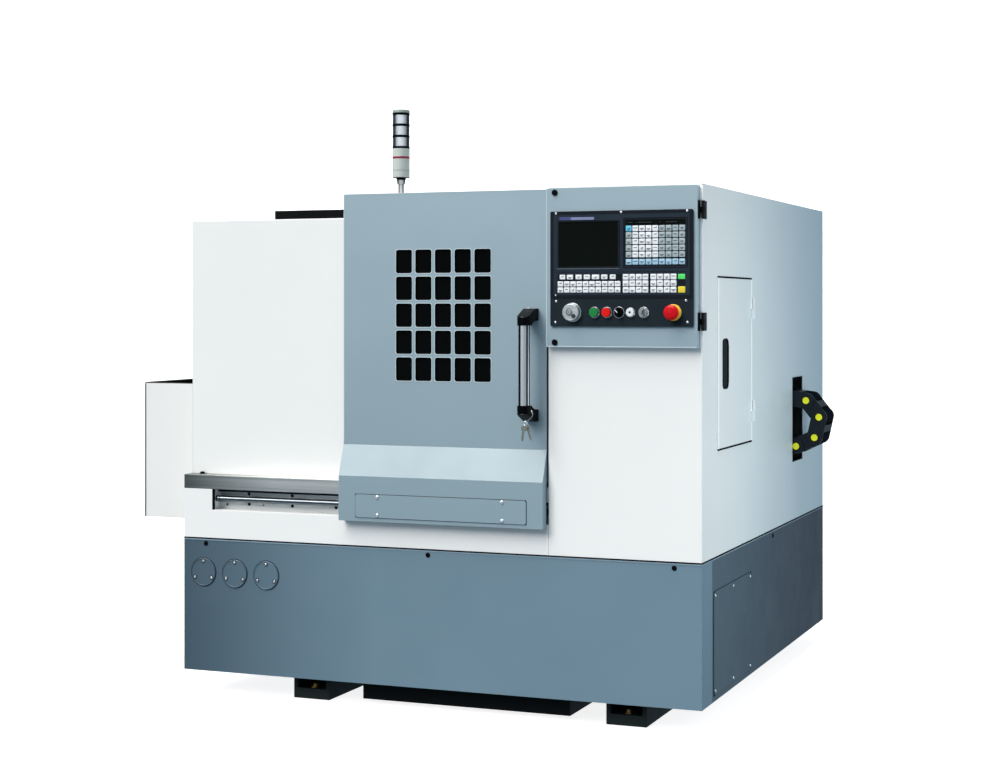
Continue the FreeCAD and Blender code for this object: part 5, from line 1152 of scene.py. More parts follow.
@dataclass
class Door:
    """Sliding door with its window grid, knee, chute plate, handle and keys."""

    grid_start: Tuple[float, float] = (-0.181, 0.935)
    cell: Tuple[float, float] = (0.048, 0.065)
    pitch: Tuple[float, float] = (0.0606, 0.0758)
    cells: int = 5
    rim: float = 0.0017
    # Width and height added round each cell for its black band of painted shade.
    gasket: Tuple[float, float] = (0.0020, 0.0014)
    cell_round: float = 0.0055
    sheet: float = -0.715
    highlight_foot: float = 0.760
    jamb: Tuple[Tuple[float, float], ...] = ((0.2784, 0.2818), (-0.7125, -0.692))
    jamb_foot: float = 0.54
    bracket_reach: float = 0.054
    bracket_slope: float = 0.0245
    bracket_nose: float = 0.014
    bracket_slices: Tuple[float, ...] = (-1.0, -0.94, -0.8, -0.55, -0.22, 0.22, 0.55, 0.8, 0.94, 1.0)
    # Arcs of the black strips on the handle's tube, in degrees: painted dark reflection stripes.
    reflection_strips: Tuple[Tuple[float, float], ...] = ((-72.0, -18.0), (45.0, 65.0), (84.0, 112.0))
    reflection_strip_steps: int = 8
    chute_screws: Tuple[Tuple[float, float], ...] = (
        (-0.225, 0.607), (0.157, 0.607), (-0.225, 0.556), (0.157, 0.556))
    key_plane: float = -0.7900
    key_wire: float = 0.0008
    key_ring: Tuple[float, float, float] = (0.2440, 0.8290, 0.0056)
    keys: Tuple[Tuple[float, float, float, float], ...] = (
        (0.2420, 0.8190, -10.0, -0.0015), (0.2490, 0.8215, 17.0, 0.0012))

    def add_window_rims(self, kit: Finishes) -> None:
        """Ring each cell with a raised rim in a lighter colour of painted highlight, and line the cell's edge
        and inner walls in black as painted shade.
        """
        rims, shade_linings = bmesh.new(), bmesh.new()
        width, height = self.cell
        wide, tall = self.gasket
        x0, z0 = self.grid_start
        glass = corner("window_glass").y
        for i in range(self.cells):
            for j in range(self.cells):
                at = Vector((x0 + self.pitch[0] * i + width / 2, self.sheet - 0.0007,
                             z0 + self.pitch[1] * j + height / 2))
                raised = at + Vector((0.0, 0.0, 0.0008))
                dark = rounded_outline(width + wide, height + tall, self.cell_round + 0.001)
                outline = rounded_outline(width + wide + 2 * self.rim, height + tall + 2 * self.rim,
                                          self.cell_round + self.rim)
                add_plate(rims, outline, raised, Axis.Y, 0.0012, dark)
                # Black lining over the cell's edge and inner walls: painted shade.
                near = raised + Vector((0.0, 0.0002, 0.0))
                inner = rounded_outline(width - 0.0024, height - 0.0036, self.cell_round - 0.001)
                edge = rounded_outline(width + wide - 0.0001, height + tall - 0.0001, self.cell_round + 0.001)
                add_plate(shade_linings, edge, near, Axis.Y, 0.0009, inner)
                outer = rounded_outline(width - 0.0006, height - 0.0018, self.cell_round)
                near = at + Vector((0.0, 0.0011, 0.0))
                add_plate(shade_linings, outer, near, Axis.Y, glass - near.y, inner)
        piece_from("window_rims", rims, kit.rim, Body.DOOR, 0.0003)
        piece_from("window_channels", shade_linings, kit.pane, Body.DOOR)

    def add_edge_highlights(self, kit: Finishes) -> None:
        """Lay lighter strips of painted highlight along the door's upper and left edges."""
        low, high = corner("door_panel"), far_corner("door_panel")
        highlight_strips = bmesh.new()
        front = self.sheet - 0.0005
        add_block(highlight_strips, Vector((low.x, front, high.z - 0.0024)), Vector((high.x, front + 0.0012, high.z)))
        add_block(highlight_strips, Vector((low.x, front, self.highlight_foot)),
                  Vector((low.x + 0.0020, front + 0.0012, high.z - 0.0024)))
        piece_from("door_folds", highlight_strips, kit.rim, Body.DOOR, 0.0003)

    def add_brackets(self, kit: Finishes) -> None:
        """Mould the two elbows of the handle, tapered from the tube's clamp to the door."""
        low, high = corner("handle_brackets"), far_corner("handle_brackets")
        elbows = bmesh.new()
        middle, half = (low.x + high.x) / 2.0, (high.x - low.x) / 2.0
        reach, round_off = self.bracket_reach, self.bracket_nose
        for end, way in ((high.z, -1.0), (low.z, 1.0)):
            slices: List[Loop] = []
            for share in self.bracket_slices:
                over = max(0.0, abs(share) * half - 0.004)
                nose = low.y + round_off - math.sqrt(max(0.0, round_off ** 2 - over ** 2))
                slope = self.bracket_slope * (low.y + reach - nose) / reach
                profile = ((high.y, 0.0), (low.y + reach, 0.0), (nose, slope), (nose, 0.046),
                           (low.y + 0.028, 0.046), (low.y + 0.036, 0.040), (low.y + 0.050, 0.0345),
                           (high.y, 0.0325))
                x = middle + share * half
                slices.append([elbows.verts.new((x, y, end + way * z)) for y, z in profile])
            for first, second in zip(slices, slices[1:]):
                bridge(elbows, first, second)
            elbows.faces.new(slices[0])
            elbows.faces.new(slices[-1])
        piece = piece_from("handle_elbows", elbows, kit.elbow, Body.DOOR, 0.0012)
        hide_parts("handle_brackets")

    def add_chute_screws(self, kit: Finishes) -> None:
        """Hold the chute plate with domed screws and seal its edge."""
        low, high = corner("chute_plate"), far_corner("chute_plate")
        screws, seal = bmesh.new(), bmesh.new()
        for x, z in self.chute_screws:
            Screw(0.0055, 0.0028).add(screws, Vector((x, low.y, z)), Axis.Y)
        piece_from("chute_plate_screws", screws, kit.nickel, Body.DOOR)
        width, height = high.x - low.x + 0.0028, high.z - low.z + 0.0028
        at = Vector(((low.x + high.x) / 2.0, high.y - 0.0008, (low.z + high.z) / 2.0))
        add_plate(seal, rounded_outline(width, height, 0.003), at, Axis.Y, 0.0012,
                  rounded_outline(width - 0.01, height - 0.01, 0.002))
        piece_from("chute_plate_seal", seal, kit.gasket, Body.DOOR)

    def add_edge_seal(self, kit: Finishes) -> None:
        """Line the cabinet's jamb with a black rubber seal beside the door."""
        seal = bmesh.new()
        top = corner("control_box").z
        (x0, x1), (y0, y1) = self.jamb
        add_block(seal, Vector((x0, y0, self.jamb_foot)), Vector((x1, y1, top + 0.01)))
        piece_from("jamb_seal", seal, kit.gasket, Body.BASE, 0.0008)

    def add_keys(self, kit: Finishes) -> None:
        """Hang a ring with two keys from the handle's lower bracket."""
        wire, keys = bmesh.new(), bmesh.new()
        y = self.key_plane
        path = ((0.2600, 0.006, 0.8640), (0.2632, 0.002, 0.8600), (0.2668, 0.0, 0.8545),
                (0.2645, 0.0, 0.8470), (0.2570, 0.0, 0.8400), (0.2478, 0.0, 0.8335))
        add_tube(wire, [Vector((x, y + back, z)) for x, back, z in path], self.key_wire)
        ring_x, ring_z, radius = self.key_ring
        middle = Vector((ring_x, y, ring_z))
        ring = [middle + Vector((math.cos(t), 0.18 * math.sin(t), math.sin(t))) * radius for t in turns(28)]
        add_tube(wire, ring, self.key_wire, closed=True)
        piece_from("key_ring", wire, kit.chrome, Body.DOOR)
        for x, z, lean, depth in self.keys:
            self.add_key(keys, Vector((x, y + depth, z)), math.radians(lean))
        piece_from("cabinet_keys", keys, kit.brass_key, Body.DOOR, 0.0002)

    def add_key(self, mesh: Mesh, at: Vector, lean: float) -> None:
        """Add one flat key hanging from a point.

        Args:
            mesh: Mesh to add to.
            at: Middle of the hole in its bow.
            lean: Its angle from straight down, in radians.
        """
        bow = [(0.0088 * math.cos(t), 0.0080 * math.sin(t) - 0.0048) for t in turns(16)]
        hole = [(0.0020 * math.cos(t), 0.0020 * math.sin(t)) for t in turns(16)]
        add_plate(mesh, leaned(bow, lean), at, Axis.Y, 0.0018, leaned(hole, lean))
        blade = [(-0.0032, -0.0105), (-0.0032, -0.032), (-0.0018, -0.0335), (-0.0026, -0.0350),
                 (-0.0010, -0.0385), (0.0024, -0.0395), (0.0032, -0.0375), (0.0032, -0.0105)]
        add_plate(mesh, leaned(blade, lean), at + Vector((0.0, 0.0002, 0.0)), Axis.Y, 0.0014)

    def add_bracket_screws(self, kit: Finishes) -> None:
        """Screw the handle's brackets down."""
        low, high = corner("handle_brackets"), far_corner("handle_brackets")
        tube = corner("handle_tube")
        screws = bmesh.new()
        for z, flip in ((high.z, False), (low.z, True)):
            Screw(0.0036, 0.0020).add(screws, Vector((tube.x + 0.008, high.y - 0.013, z)), Axis.Z, flip)
        piece_from("handle_bracket_screws", screws, kit.nickel, Body.DOOR)

    def add_reflection_strips(self, kit: Finishes) -> None:
        """Lay black strips along the handle's tube, painted dark reflection stripes."""
        low, high = corner("handle_tube"), far_corner("handle_tube")
        radius = (high.x - low.x) / 2.0
        middle = (low + high) / 2.0
        reflection_strips = bmesh.new()
        for start, end in self.reflection_strips:
            steps = self.reflection_strip_steps
            arc = [math.radians(start + (end - start) * step / steps) for step in range(steps + 1)]
            section = [(t, radius + 0.0005) for t in arc] + [(t, radius - 0.0003) for t in reversed(arc)]
            outline = [(r * math.sin(t), -r * math.cos(t)) for t, r in section]
            foot = Vector((middle.x, middle.y, low.z + 0.0005))
            add_plate(reflection_strips, outline, foot, Axis.Z, high.z - low.z - 0.001)
        piece_from("handle_grips", reflection_strips, kit.black_plastic, Body.DOOR)

    def build(self, kit: Finishes) -> None:
        """Dress the door."""
        paint(kit.blue_grey, "door_panel", "chute_plate")
        paint(kit.pane, "window_glass")
        paint(kit.aluminium, "handle_tube")
        paint(kit.elbow, "handle_brackets")
        paint(kit.nylon, "door_guides")
        soften(0.0008, "chute_plate")
        self.add_window_rims(kit)
        self.add_edge_highlights(kit)
        self.add_brackets(kit)
        self.add_chute_screws(kit)
        self.add_edge_seal(kit)
        self.add_keys(kit)
        self.add_bracket_screws(kit)
        self.add_reflection_strips(kit)


@dataclass(frozen=True)
class KeyField:
    """Block of keys on the operator unit, in metres from the unit's lower left corner."""

    x: Tuple[float, float]
    z: Tuple[float, float]
    columns: int
    rows: int
    gap: float = 0.0024
    tones: Tuple[str, ...] = ("key_grey",)
    marks: bool = True

    def places(self) -> List[Tuple[float, float, float, float, str]]:
        """Middle, width, height and tone of each key."""
        pitch_x = (self.x[1] - self.x[0]) / self.columns
        pitch_z = (self.z[1] - self.z[0]) / self.rows
        return [(self.x[0] + pitch_x * (i + 0.5), self.z[0] + pitch_z * (j + 0.5),
                 pitch_x - self.gap, pitch_z - self.gap,
                 self.tones[(i + j * self.columns) % len(self.tones)])
                for j in range(self.rows) for i in range(self.columns)]


HEAD_ROW = ("key_cyan",) + ("key_white",) * 4 + ("key_grey",) * 4
PAD_ROW = ("key_grey",) + ("key_white",) * 4 + ("key_grey",) * 4


@dataclass
class Panel:
    """Swinging control box with its operator unit, screen, keys and switches."""

    bezel_screws: Tuple[Tuple[float, float], ...] = (
        (0.0163, 0.3062), (0.204, 0.3066), (0.3893, 0.3070), (0.0169, 0.0681), (0.3859, 0.0697),
        (0.0146, 0.0109), (0.3899, 0.0125))
    small_screw: Tuple[float, float] = (0.0156, 0.0842)
    switches: Tuple[float, ...] = (0.064, 0.128, 0.1635, 0.1985, 0.231, 0.268, 0.3515)
    switch_height: float = 0.038
    key_rise: float = 0.0016
    mat_depth: float = 0.0010
    mats: Tuple[Tuple[Tuple[float, float], Tuple[float, float]], ...] = (
        ((0.2132, 0.1582), (0.3883, 0.2895)), ((0.0140, 0.0870), (0.3875, 0.1440)))
    dashes: Tuple[Tuple[float, float], ...] = (
        (0.2225, 0.2365), (0.2470, 0.2500), (0.2530, 0.2900), (0.3120, 0.3165), (0.3300, 0.3610))
    grooves: Tuple[Tuple[float, float, float, float], ...] = (
        (0.012, 0.389, 0.1458, 0.1468), (0.004, 0.4015, 0.0749, 0.0759))
    wheel_hub: Tuple[float, float] = (-0.0030, 0.0012)
    finger_hole: Tuple[float, float] = (0.0092, -0.0098)
    pointer_shift: float = 0.0042
    row_keys: Tuple[Tuple[float, float], ...] = (
        (0.0274, 0.0160), (0.0484, 0.0176), (0.0735, 0.0176), (0.0970, 0.0180), (0.1205, 0.0210),
        (0.1472, 0.0178), (0.1718, 0.0168))
    row_height: Tuple[float, float] = (0.1273, 0.1399)
    fields: Tuple[KeyField, ...] = (
        KeyField((0.2164, 0.3846), (0.2535, 0.2712), 9, 1, tones=HEAD_ROW),
        KeyField((0.2164, 0.3846), (0.1838, 0.2535), 9, 4, tones=PAD_ROW),
        KeyField((0.2164, 0.3846), (0.1644, 0.1820), 9, 1, tones=("key_pale",)),
        KeyField((0.0205, 0.2030), (0.0905, 0.1232), 10, 2, 0.0022, ("key_white",)),
        KeyField((0.2080, 0.2820), (0.0898, 0.1418), 4, 3, 0.0022, ("key_white",)),
        KeyField((0.2861, 0.3607), (0.0898, 0.1418), 4, 3, 0.0022, ("key_white",)),
        KeyField((0.3632, 0.3848), (0.1254, 0.1410), 1, 1, 0.0020, ("key_green",)),
        KeyField((0.3632, 0.3848), (0.0894, 0.1080), 1, 1, 0.0020, ("key_yellow",)),
    )

    def __post_init__(self) -> None:
        """Find the unit's lower left corner and its face."""
        self.origin = corner("cnc_unit")
        self.face = self.origin.y

    def at(self, x: float, z: float, depth: float = 0.0) -> Vector:
        """Point on the unit's face.

        Args:
            x: Distance from its left edge.
            z: Distance above its lower edge.
            depth: Distance behind its face.

        Returns:
            The point, in the shared frame.
        """
        return Vector((self.origin.x + x, self.face + depth, self.origin.z + z))

    def add_frame(self, name: str, finish: Material, low: Tuple[float, float], high: Tuple[float, float],
                  wide: float, depth: Tuple[float, float]) -> None:
        """Add a thin rectangular frame on the unit's face.

        Args:
            name: Piece's name.
            finish: Its finish.
            low: Its lower left corner on the face.
            high: Its upper right corner on the face.
            wide: Width of its sides.
            depth: Where it starts and ends behind the face.
        """
        mesh = bmesh.new()
        width, height = high[0] - low[0], high[1] - low[1]
        at = self.at((low[0] + high[0]) / 2.0, (low[1] + high[1]) / 2.0, depth[0])
        add_plate(mesh, rounded_outline(width, height, 0.003), at, Axis.Y, depth[1] - depth[0],
                  rounded_outline(width - 2.0 * wide, height - 2.0 * wide, 0.0018))
        piece_from(name, mesh, finish, Body.PANEL, 0.0003)

    def add_plain(self, name: str, finish: Material, low: Tuple[float, float], high: Tuple[float, float],
                  depth: Tuple[float, float]) -> None:
        """Add a rounded plate on the unit's face.

        Args:
            name: Piece's name.
            finish: Its finish.
            low: Its lower left corner on the face.
            high: Its upper right corner on the face.
            depth: Where it starts and ends behind the face.
        """
        mesh = bmesh.new()
        width, height = high[0] - low[0], high[1] - low[1]
        at = self.at((low[0] + high[0]) / 2.0, (low[1] + high[1]) / 2.0, depth[0])
        add_plate(mesh, rounded_outline(width, height, 0.001), at, Axis.Y, depth[1] - depth[0])
        piece_from(name, mesh, finish, Body.PANEL, 0.0002)

    def add_bezel(self, kit: Finishes) -> None:
        """Frame the screen, strip the head and screw the unit to its box."""
        strip = (-0.0006, 0.0006)
        # Lighter strips under and beside the screen: painted highlight of its bevel.
        self.add_plain("screen_sill", kit.slate_highlight, (0.0195, 0.1545), (0.1996, 0.1572), (-0.0008, 0.0010))
        self.add_plain("screen_side", kit.slate_highlight, (0.1990, 0.1545), (0.2004, 0.2880), (-0.0006, 0.0010))
        for name, low, high, wide, depth in (
                ("screen_surround", (0.0212, 0.1575), (0.1985, 0.2866), 0.0040, (-0.0004, 0.0016)),
                ("unit_border", (0.0, 0.0762), (0.4055, 0.3115), 0.0095, (-0.0003, 0.0016)),
                ("key_surround", (0.2095, 0.1560), (0.3918, 0.2918), 0.0040, (-0.0004, 0.0010))):
            self.add_frame(name, kit.slate_dark, low, high, wide, depth)
        self.add_plain("navy_head_strip", kit.navy, (0.027, 0.2878), (0.060, 0.2958), strip)
        self.add_plain("lilac_head_strip", kit.lilac, (0.060, 0.2878), (0.127, 0.2950), strip)
        groove = bmesh.new()
        for x0, x1, z0, z1 in self.grooves:
            add_block(groove, self.at(x0, z0, -0.0002), self.at(x1, z1, 0.001))
        piece_from("unit_grooves", groove, kit.gasket, Body.PANEL)
        screws = bmesh.new()
        for x, z in self.bezel_screws:
            Screw(0.0033, 0.0016).add(screws, self.at(x, z), Axis.Y)
        Screw(0.0021, 0.0010).add(screws, self.at(*self.small_screw), Axis.Y)
        piece_from("unit_screws", screws, kit.nickel, Body.PANEL)

    def add_keys(self, kit: Finishes) -> None:
        """Lay the key mats and a cushion-shaped key for every place on them."""
        mats = bmesh.new()
        mat = self.mat_depth
        for low, high in self.mats:
            add_block(mats, self.at(low[0], low[1], mat), self.at(high[0], high[1], 0.0030))
        pads = {tone: bmesh.new() for tone in ("key_cyan", "key_white", "key_grey", "key_pale", "key_green",
                                               "key_yellow")}
        marks = bmesh.new()
        order = 0
        for group in self.fields:
            for x, z, width, height, tone in group.places():
                self.add_pad(pads[tone], x, z, width, height, mat)
                if group.marks and tone != "key_green" and tone != "key_yellow":
                    self.add_mark(marks, x, z, min(width, height), order, mat - self.key_rise)
                order += 1
        for x, width in self.row_keys:
            z0, z1 = self.row_height
            self.add_pad(pads["key_white"], x + width / 2.0, (z0 + z1) / 2.0, width, z1 - z0, mat)
            self.add_mark(marks, x + width / 2.0, (z0 + z1) / 2.0, z1 - z0, order, mat - self.key_rise)
            order += 2
        carrier = piece_from("key_mats", mats, kit.slate_dark, Body.PANEL)
        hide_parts("keypad")
        for tone, mesh in pads.items():
            piece_from(f"{tone}_pads", mesh, getattr(kit, tone), Body.PANEL)
        piece_from("key_marks", marks, kit.key_mark_and_recess_shade, Body.PANEL)
        for x0, x1 in self.dashes:
            self.add_plain("head_strip_dash", kit.key_mark_and_recess_shade, (x0, 0.2778), (x1, 0.2796),
                           (mat - 0.0011, mat - 0.0006))
        self.add_plain("keys_head_strip", kit.display, (0.2173, 0.2727), (0.3837, 0.2850),
                       (mat - 0.0008, mat + 0.0004))

    def add_pad(self, mesh: Mesh, x: float, z: float, width: float, height: float, mat: float) -> None:
        """Add one key with a slightly crowned face.

        Args:
            mesh: Mesh to add to.
            x: Its middle from the unit's left edge.
            z: Its middle above the unit's lower edge.
            width: Its width.
            height: Its height.
            mat: Depth of the mat that it stands on.
        """
        levels = ((0.0, 0.0), (0.0, self.key_rise * 0.6), (0.0005, self.key_rise * 0.9),
                  (0.0014, self.key_rise))
        loops: List[Loop] = []
        for inset, rise in levels:
            at = self.at(x, z, mat - rise)
            outline = rounded_outline(width - 2.0 * inset, height - 2.0 * inset, 0.0016, 3)
            loops.append([mesh.verts.new(at + Vector((u, 0.0, v))) for u, v in outline])
        for first, second in zip(loops, loops[1:]):
            bridge(mesh, first, second)
        mesh.faces.new(loops[-1])
        mesh.faces.new(loops[0])

    def add_mark(self, mesh: Mesh, x: float, z: float, size: float, order: int, depth: float) -> None:
        """Print one plain bar mark on a key.

        Args:
            mesh: Mesh to add to.
            x: The key's middle from the unit's left edge.
            z: The key's middle above the unit's lower edge.
            size: The key's shorter side.
            order: Number of the key, which varies the mark.
            depth: Depth of the key's face.
        """
        reach = size * (0.26 + 0.05 * (order * 7 % 4))
        thick = size * 0.06
        shift = size * 0.10 * ((order * 5 % 3) - 1)
        bars = [((x - reach, z + shift - thick), (x + reach, z + shift + thick))]
        if order % 3 != 1:
            under = z + shift - size * 0.2
            bars.append(((x - reach * 0.6, under - thick), (x + reach * 0.5, under + thick)))
        if order % 4 == 0:
            right = x + reach * 0.5
            bars.append(((right, z + shift), (right + 2 * thick, z + shift + size * 0.22)))
        for low, high in bars:
            add_block(mesh, self.at(low[0], low[1], depth - 0.00012),
                      self.at(high[0], high[1], depth + 0.0002))

    def add_rings(self, kit: Finishes) -> None:
        """Ring every switch, in place of the plain collars, and set the pilot lamp in its own."""
        chrome, black, yellow, pale = bmesh.new(), bmesh.new(), bmesh.new(), bmesh.new()
        wheel, start, stop, selector, pilot, lock, estop = self.switches
        for place, outer, inner, thick, mesh in (
                (wheel, 0.0260, 0.0180, 0.0027, chrome), (start, 0.0152, 0.0128, 0.0030, chrome),
                (stop, 0.0152, 0.0128, 0.0030, chrome), (selector, 0.0144, 0.0100, 0.0030, black),
                (selector, 0.0153, 0.0143, 0.0022, chrome),
                (lock, 0.0152, 0.0100, 0.0028, chrome),
                (pilot, 0.0136, 0.0108, 0.0034, chrome), (estop, 0.0220, 0.0120, 0.0030, yellow)):
            ring = [(inner, -0.0005), (outer, -0.0005), (outer, thick * 0.5), (outer - 0.0012, thick),
                    (inner + 0.0006, thick), (inner, thick - 0.0006), (inner, -0.0005)]
            add_turned(mesh, ring, self.at(place, self.switch_height), Axis.Y, 48, True)
        knob = [(0.0112, -0.0005), (0.0112, 0.0062), (0.0102, 0.0072), (0.0040, 0.0072), (0.0034, 0.0058),
                (0.0, 0.0056)]
        add_turned(pale, knob, self.at(pilot, self.switch_height), Axis.Y, 40, True)
        rings = piece_from("switch_rings", chrome, kit.chrome, Body.PANEL)
        piece_from("selector_ring", black, kit.black_plastic, Body.PANEL)
        piece_from("stop_collar", yellow, kit.yellow, Body.PANEL)
        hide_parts("button_bezels")
        piece_from("pilot_lamp", pale, kit.key_white, Body.PANEL)
        core = bmesh.new()
        dot = [(0.0026, 0.0054), (0.0026, 0.0064), (0.0, 0.0066)]
        add_turned(core, dot, self.at(pilot, self.switch_height), Axis.Y, 20, True)
        piece_from("pilot_centre", core, kit.black_plastic, Body.PANEL)

    def add_wheel_face(self, kit: Finishes) -> None:
        """Turn the handwheel's face: rim, dished disc, hub in its groove and the finger hole."""
        low = corner("handwheel")
        face, recess_shade, hub = bmesh.new(), bmesh.new(), bmesh.new()
        centre = Vector((self.origin.x + self.switches[0], low.y, self.origin.z + self.switch_height))
        middle = centre + Vector((self.wheel_hub[0], 0.0, self.wheel_hub[1]))
        finger = centre + Vector((self.finger_hole[0], 0.0, self.finger_hole[1]))
        dish = [(0.0222, -0.0003), (0.0220, 0.0006), (0.0200, 0.0008), (0.0194, 0.0001), (0.0092, 0.0001),
                (0.0088, 0.0009), (0.0060, 0.0013), (0.0, 0.0014)]
        add_turned(face, dish, centre, Axis.Y, 56, True)
        piece_from("wheel_face", face, kit.wheel, Body.WHEEL)
        # The finger hole and the hub's groove are coloured dark: painted shade in the recesses.
        pit = [(0.0060, 0.0000), (0.0060, 0.0010), (0.0050, 0.0012), (0.0046, 0.0004), (0.0, 0.0003)]
        add_turned(recess_shade, pit, finger, Axis.Y, 24, True)
        groove = [(0.0094, 0.0010), (0.0094, 0.0020), (0.0082, 0.0022), (0.0082, 0.0010)]
        add_turned(recess_shade, groove, middle, Axis.Y, 32, True)
        piece_from("wheel_finger_hole", recess_shade, kit.key_mark_and_recess_shade, Body.WHEEL)
        boss = [(0.0083, 0.0010), (0.0081, 0.0018), (0.0060, 0.0021), (0.0056, 0.0016), (0.0, 0.0016)]
        add_turned(hub, boss, middle, Axis.Y, 32, True)
        piece_from("wheel_hub", hub, kit.zinc, Body.WHEEL)

    def add_pointers(self, kit: Finishes) -> None:
        """Mark the selector's grip with its pointer and cut the key switch's slot."""
        for name, node, size, lean, finish, body in (
                ("selector_pointer", "selector_knob", (0.0024, 0.0100), 45.0, kit.key_white, Body.SELECTOR),
                ("key_slot", "key_switch", (0.0026, 0.0110), -12.0, kit.black_plastic, Body.KEYLOCK)):
            low, high = corner(node), far_corner(node)
            shift = self.pointer_shift if body is Body.SELECTOR else 0.0
            bar = rounded_outline(size[0], size[1], 0.0008, 3)
            outline = leaned([(u, v + shift) for u, v in bar], math.radians(lean))
            mesh = bmesh.new()
            middle = (low + high) / 2.0
            add_plate(mesh, outline, Vector((middle.x, low.y - 0.0005, middle.z)), Axis.Y, 0.0012)
            piece_from(name, mesh, finish, body)

    def add_edge_highlights(self, kit: Finishes) -> None:
        """Lay lighter strips of painted highlight along the box's left and lower edges."""
        low, high = corner("control_box"), far_corner("control_box")
        highlight_strips = bmesh.new()
        add_block(highlight_strips, Vector((low.x - 0.0003, low.y - 0.0005, low.z)),
                  Vector((low.x + 0.0018, low.y + 0.002, high.z - 0.002)))
        add_block(highlight_strips, Vector((low.x, low.y - 0.0005, low.z - 0.0003)),
                  Vector((high.x - 0.002, low.y + 0.002, low.z + 0.0018)))
        piece_from("panel_folds", highlight_strips, kit.rim, Body.PANEL, 0.0004)

    def build(self, kit: Finishes) -> None:
        """Dress the operator's panel."""
        paint(kit.blue_grey, "control_box")
        paint(kit.slate, "cnc_unit")
        paint(kit.display, "screen")
        paint(kit.green, "start_button")
        paint(kit.red, "stop_button")
        paint(kit.wheel, "handwheel")
        paint(kit.black_plastic, "selector_knob", "lock_upper", "lock_lower")
        paint(kit.zinc, "key_switch")
        paint(kit.stop_red, "estop_button")
        soften(0.0025, "control_box")
        soften(0.0008, "cnc_unit")
        self.add_bezel(kit)
        self.add_keys(kit)
        self.add_rings(kit)
        self.add_wheel_face(kit)
        self.add_pointers(kit)
        self.add_edge_highlights(kit)


@dataclass
class Works:
    """Machine inside: slanted bed, headstock, spindle, drives, slides, turret and chain."""

    bend: Tuple[float, float] = (0.729, 0.775)
    radius: float = 0.077
    link: float = 0.067
    pins: Tuple[int, int] = (5, 4)

    def add_chain_pins(self, kit: Finishes) -> None:
        """Cap the chain's pivots in yellow, each in a black collar."""
        low, high = corner("cable_chain"), far_corner("cable_chain")
        cap = [(0.0112, -0.0009), (0.0112, 0.0003), (0.0104, 0.0012), (0.0052, 0.0012), (0.0048, 0.0004),
               (0.0030, 0.0004), (0.0026, 0.0010), (0.0, 0.0011)]
        collar = [(0.0134, -0.0006), (0.0134, 0.0004), (0.0126, 0.0007), (0.0110, 0.0007), (0.0110, -0.0006)]
        for name, profile, finish in (("chain_pins", cap, kit.pin),
                                      ("chain_pin_collars", collar, kit.black_plastic)):
            mesh = bmesh.new()
            for x, z in self.pivots():
                for y, flip in ((low.y, True), (high.y, False)):
                    add_turned(mesh, profile, Vector((x, y, z)), Axis.Y, 28, flip)
            piece_from(name, mesh, finish, Body.CHAIN)

    def pivots(self) -> List[Tuple[float, float]]:
        """Places of the chain's pivots round its bend."""
        x0, z0 = self.bend
        places = [(x0 - self.link * (self.pins[0] - step), z0 - self.radius) for step in range(self.pins[0])]
        turn = 2.0 * math.asin(self.link / 2.0 / self.radius)
        angle = -math.pi / 2.0
        while angle < math.pi / 2.0:
            places.append((x0 + self.radius * math.cos(angle), z0 + self.radius * math.sin(angle)))
            angle += turn
        top = z0 + self.radius
        x, z = places[-1]
        x -= math.sqrt(self.link ** 2 - (top - z) ** 2)
        return places + [(x - self.link * step, top) for step in range(self.pins[1])]

    def build(self, kit: Finishes) -> None:
        """Dress everything behind the door."""
        paint(kit.casting, "bed", "headstock", "saddle", "cross_slide", "turret_housing")
        paint(kit.ground, "bed_rails")
        paint(kit.milled, "spindle_bearings", "spindle", "chuck_body", "jaw_1", "jaw_2", "jaw_3",
              "motor_pulley", "ball_screw", "turret_disc")
        paint(kit.black, "spindle_motor", "feed_motor", "cross_motor")
        paint(kit.zinc, "chip_pan")
        paint(kit.rubber, "drive_belt")
        paint(kit.chain, "cable_chain")
        paint(kit.oil, "lubricator")
        soften(0.001, "chuck_body", "turret_disc", "turret_housing", "spindle_motor")
        self.add_chain_pins(kit)


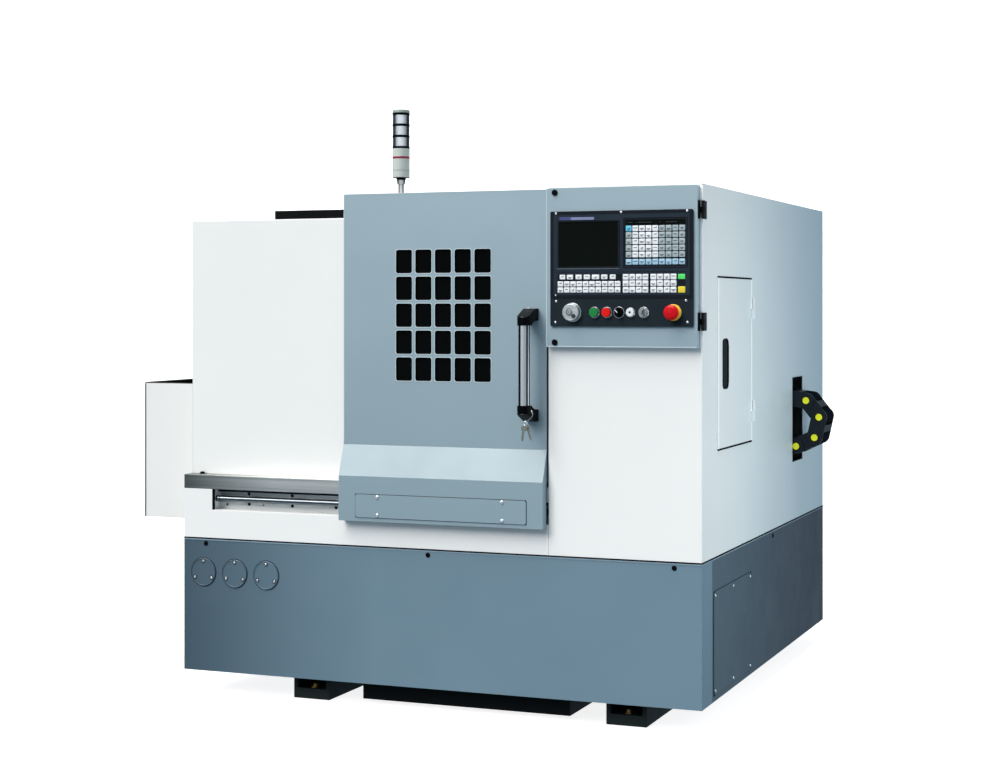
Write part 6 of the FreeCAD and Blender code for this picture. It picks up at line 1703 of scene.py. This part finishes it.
@dataclass
class SignalLamp:
    """Signal lamp on the roof: pole, body, clear lenses between raised rings, and cap."""

    pole: float = 0.008
    rise: float = 0.120
    body_height: float = 0.055
    first: float = 0.023
    seam: Tuple[float, float] = (0.0205, 0.0217)
    ring: float = 0.0066
    inset: float = 0.003
    lens: float = 0.026
    count: int = 4

    def build(self, kit: Finishes) -> None:
        """Build the lamp in place of its plain solid."""
        low, high = corner("signal_tower"), far_corner("signal_tower")
        x, y = (low.x + high.x) / 2.0, (low.y + high.y) / 2.0
        radius = (high.x - low.x) / 2.0 - 0.0005
        at = Vector((x, y, low.z))
        foot, cone, body, seam = bmesh.new(), bmesh.new(), bmesh.new(), bmesh.new()
        rise = self.rise
        pole = [(0.0, 0.0), (radius, 0.0), (radius, 0.0035), (radius - 0.002, 0.005), (self.pole, 0.005),
                (self.pole, rise - 0.019), (0.0107, rise - 0.019), (0.0125, rise - 0.006)]
        add_turned(foot, pole, at, Axis.Z, 40)
        # The pole's finish paints a bright middle and dark edges: painted reflection.
        stem = piece_from("lamp_pole", foot, kit.lamp_pole_painted_reflection, Body.BASE)
        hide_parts("signal_tower")
        funnel = [(0.0118, rise - 0.0065), (0.0129, rise - 0.0065), (0.0143, rise), (radius, rise),
                  (radius, rise + 0.001)]
        add_turned(cone, funnel, at, Axis.Z, 40)
        piece_from("lamp_cone", cone, kit.black_plastic, Body.BASE)
        seam_low, seam_high = rise + self.seam[0], rise + self.seam[1]
        level = rise + self.body_height
        shell = [(0.004, rise + 0.001), (radius, rise + 0.001), (radius, seam_low - 0.0003),
                 (radius - 0.0014, seam_low), (radius - 0.0014, seam_high), (radius, seam_high + 0.0003),
                 (radius, level)]
        add_turned(body, shell, at, Axis.Z, 48)
        rings, first_ring, lenses = bmesh.new(), bmesh.new(), bmesh.new()
        lip, inner = radius + 0.0001, radius - self.inset
        for step in range(self.count + 1):
            band = [(inner, level), (lip - 0.0006, level), (lip, level + 0.0010),
                    (lip, level + self.ring - 0.0010), (lip - 0.0006, level + self.ring),
                    (inner, level + self.ring)]
            add_turned(first_ring if step == 0 else rings, band, at, Axis.Z, 48)
            level += self.ring
            if step == 0:
                collar = [(radius - 0.002, level - 0.001), (radius, level), (radius, level + self.first),
                          (radius - 0.002, level + self.first + 0.001)]
                add_turned(body, collar, at, Axis.Z, 48)
                level += self.first
            elif step < self.count:
                self.add_lens(lenses, at, radius, level)
                level += self.lens
        piece_from("lamp_body", body, kit.lamp_body, Body.BASE)
        # A grey band almost flush in the body's groove: painted shade of the seam.
        joint = [(radius - 0.002, seam_low), (radius - 0.0001, seam_low), (radius - 0.0001, seam_high),
                 (radius - 0.002, seam_high)]
        add_turned(seam, joint, at, Axis.Z, 48)
        piece_from("lamp_seam", seam, kit.cap_grey_and_seam_shade, Body.BASE)
        piece_from("lamp_first_ring", first_ring, kit.ring_red, Body.BASE)
        piece_from("lamp_rings", rings, kit.black_plastic, Body.BASE)
        piece_from("lamp_lenses", lenses, kit.lens, Body.BASE)
        cap = bmesh.new()
        end = high.z - low.z
        top = [(inner, level), (radius, level), (radius, end - 0.003), (radius - 0.0012, end - 0.0008),
               (radius - 0.004, end), (0.0, end)]
        add_turned(cap, top, at, Axis.Z, 48)
        piece_from("lamp_cap", cap, kit.cap_grey_and_seam_shade, Body.BASE)

    def add_lens(self, mesh: Mesh, at: Vector, radius: float, level: float) -> None:
        """Add one fluted lens standing on a ring.

        Args:
            mesh: Mesh to add to.
            at: Foot of the lamp's axis.
            radius: Lamp's radius.
            level: Height of the lens's lower edge above the foot.
        """
        profile = [(radius - 0.0035, level - 0.001)]
        flutes = 6
        for step in range(flutes):
            z = level + self.lens * step / flutes
            profile += [(radius - 0.0011, z + 0.0002), (radius - 0.0005, z + self.lens / flutes * 0.5),
                        (radius - 0.0011, z + self.lens / flutes - 0.0002)]
        profile.append((radius - 0.0035, level + self.lens + 0.001))
        add_turned(mesh, profile, at, Axis.Z, 48)


def main() -> None:
    """Build the finishes, dress each sub-assembly and set the stage."""
    logging.basicConfig(level=logging.INFO, format="%(name)s: %(message)s")
    kit = Finishes()
    for part in (Plinth(), WhiteBody(), Door(), Panel(), Works(), SignalLamp()):
        before = set(bpy.data.objects.keys())
        part.build(kit)
        for name in sorted(set(bpy.data.objects.keys()) - before):
            log.info("%s: %s", type(part).__name__, name)
    Studio().build()


if __name__ == "__main__":
    main()
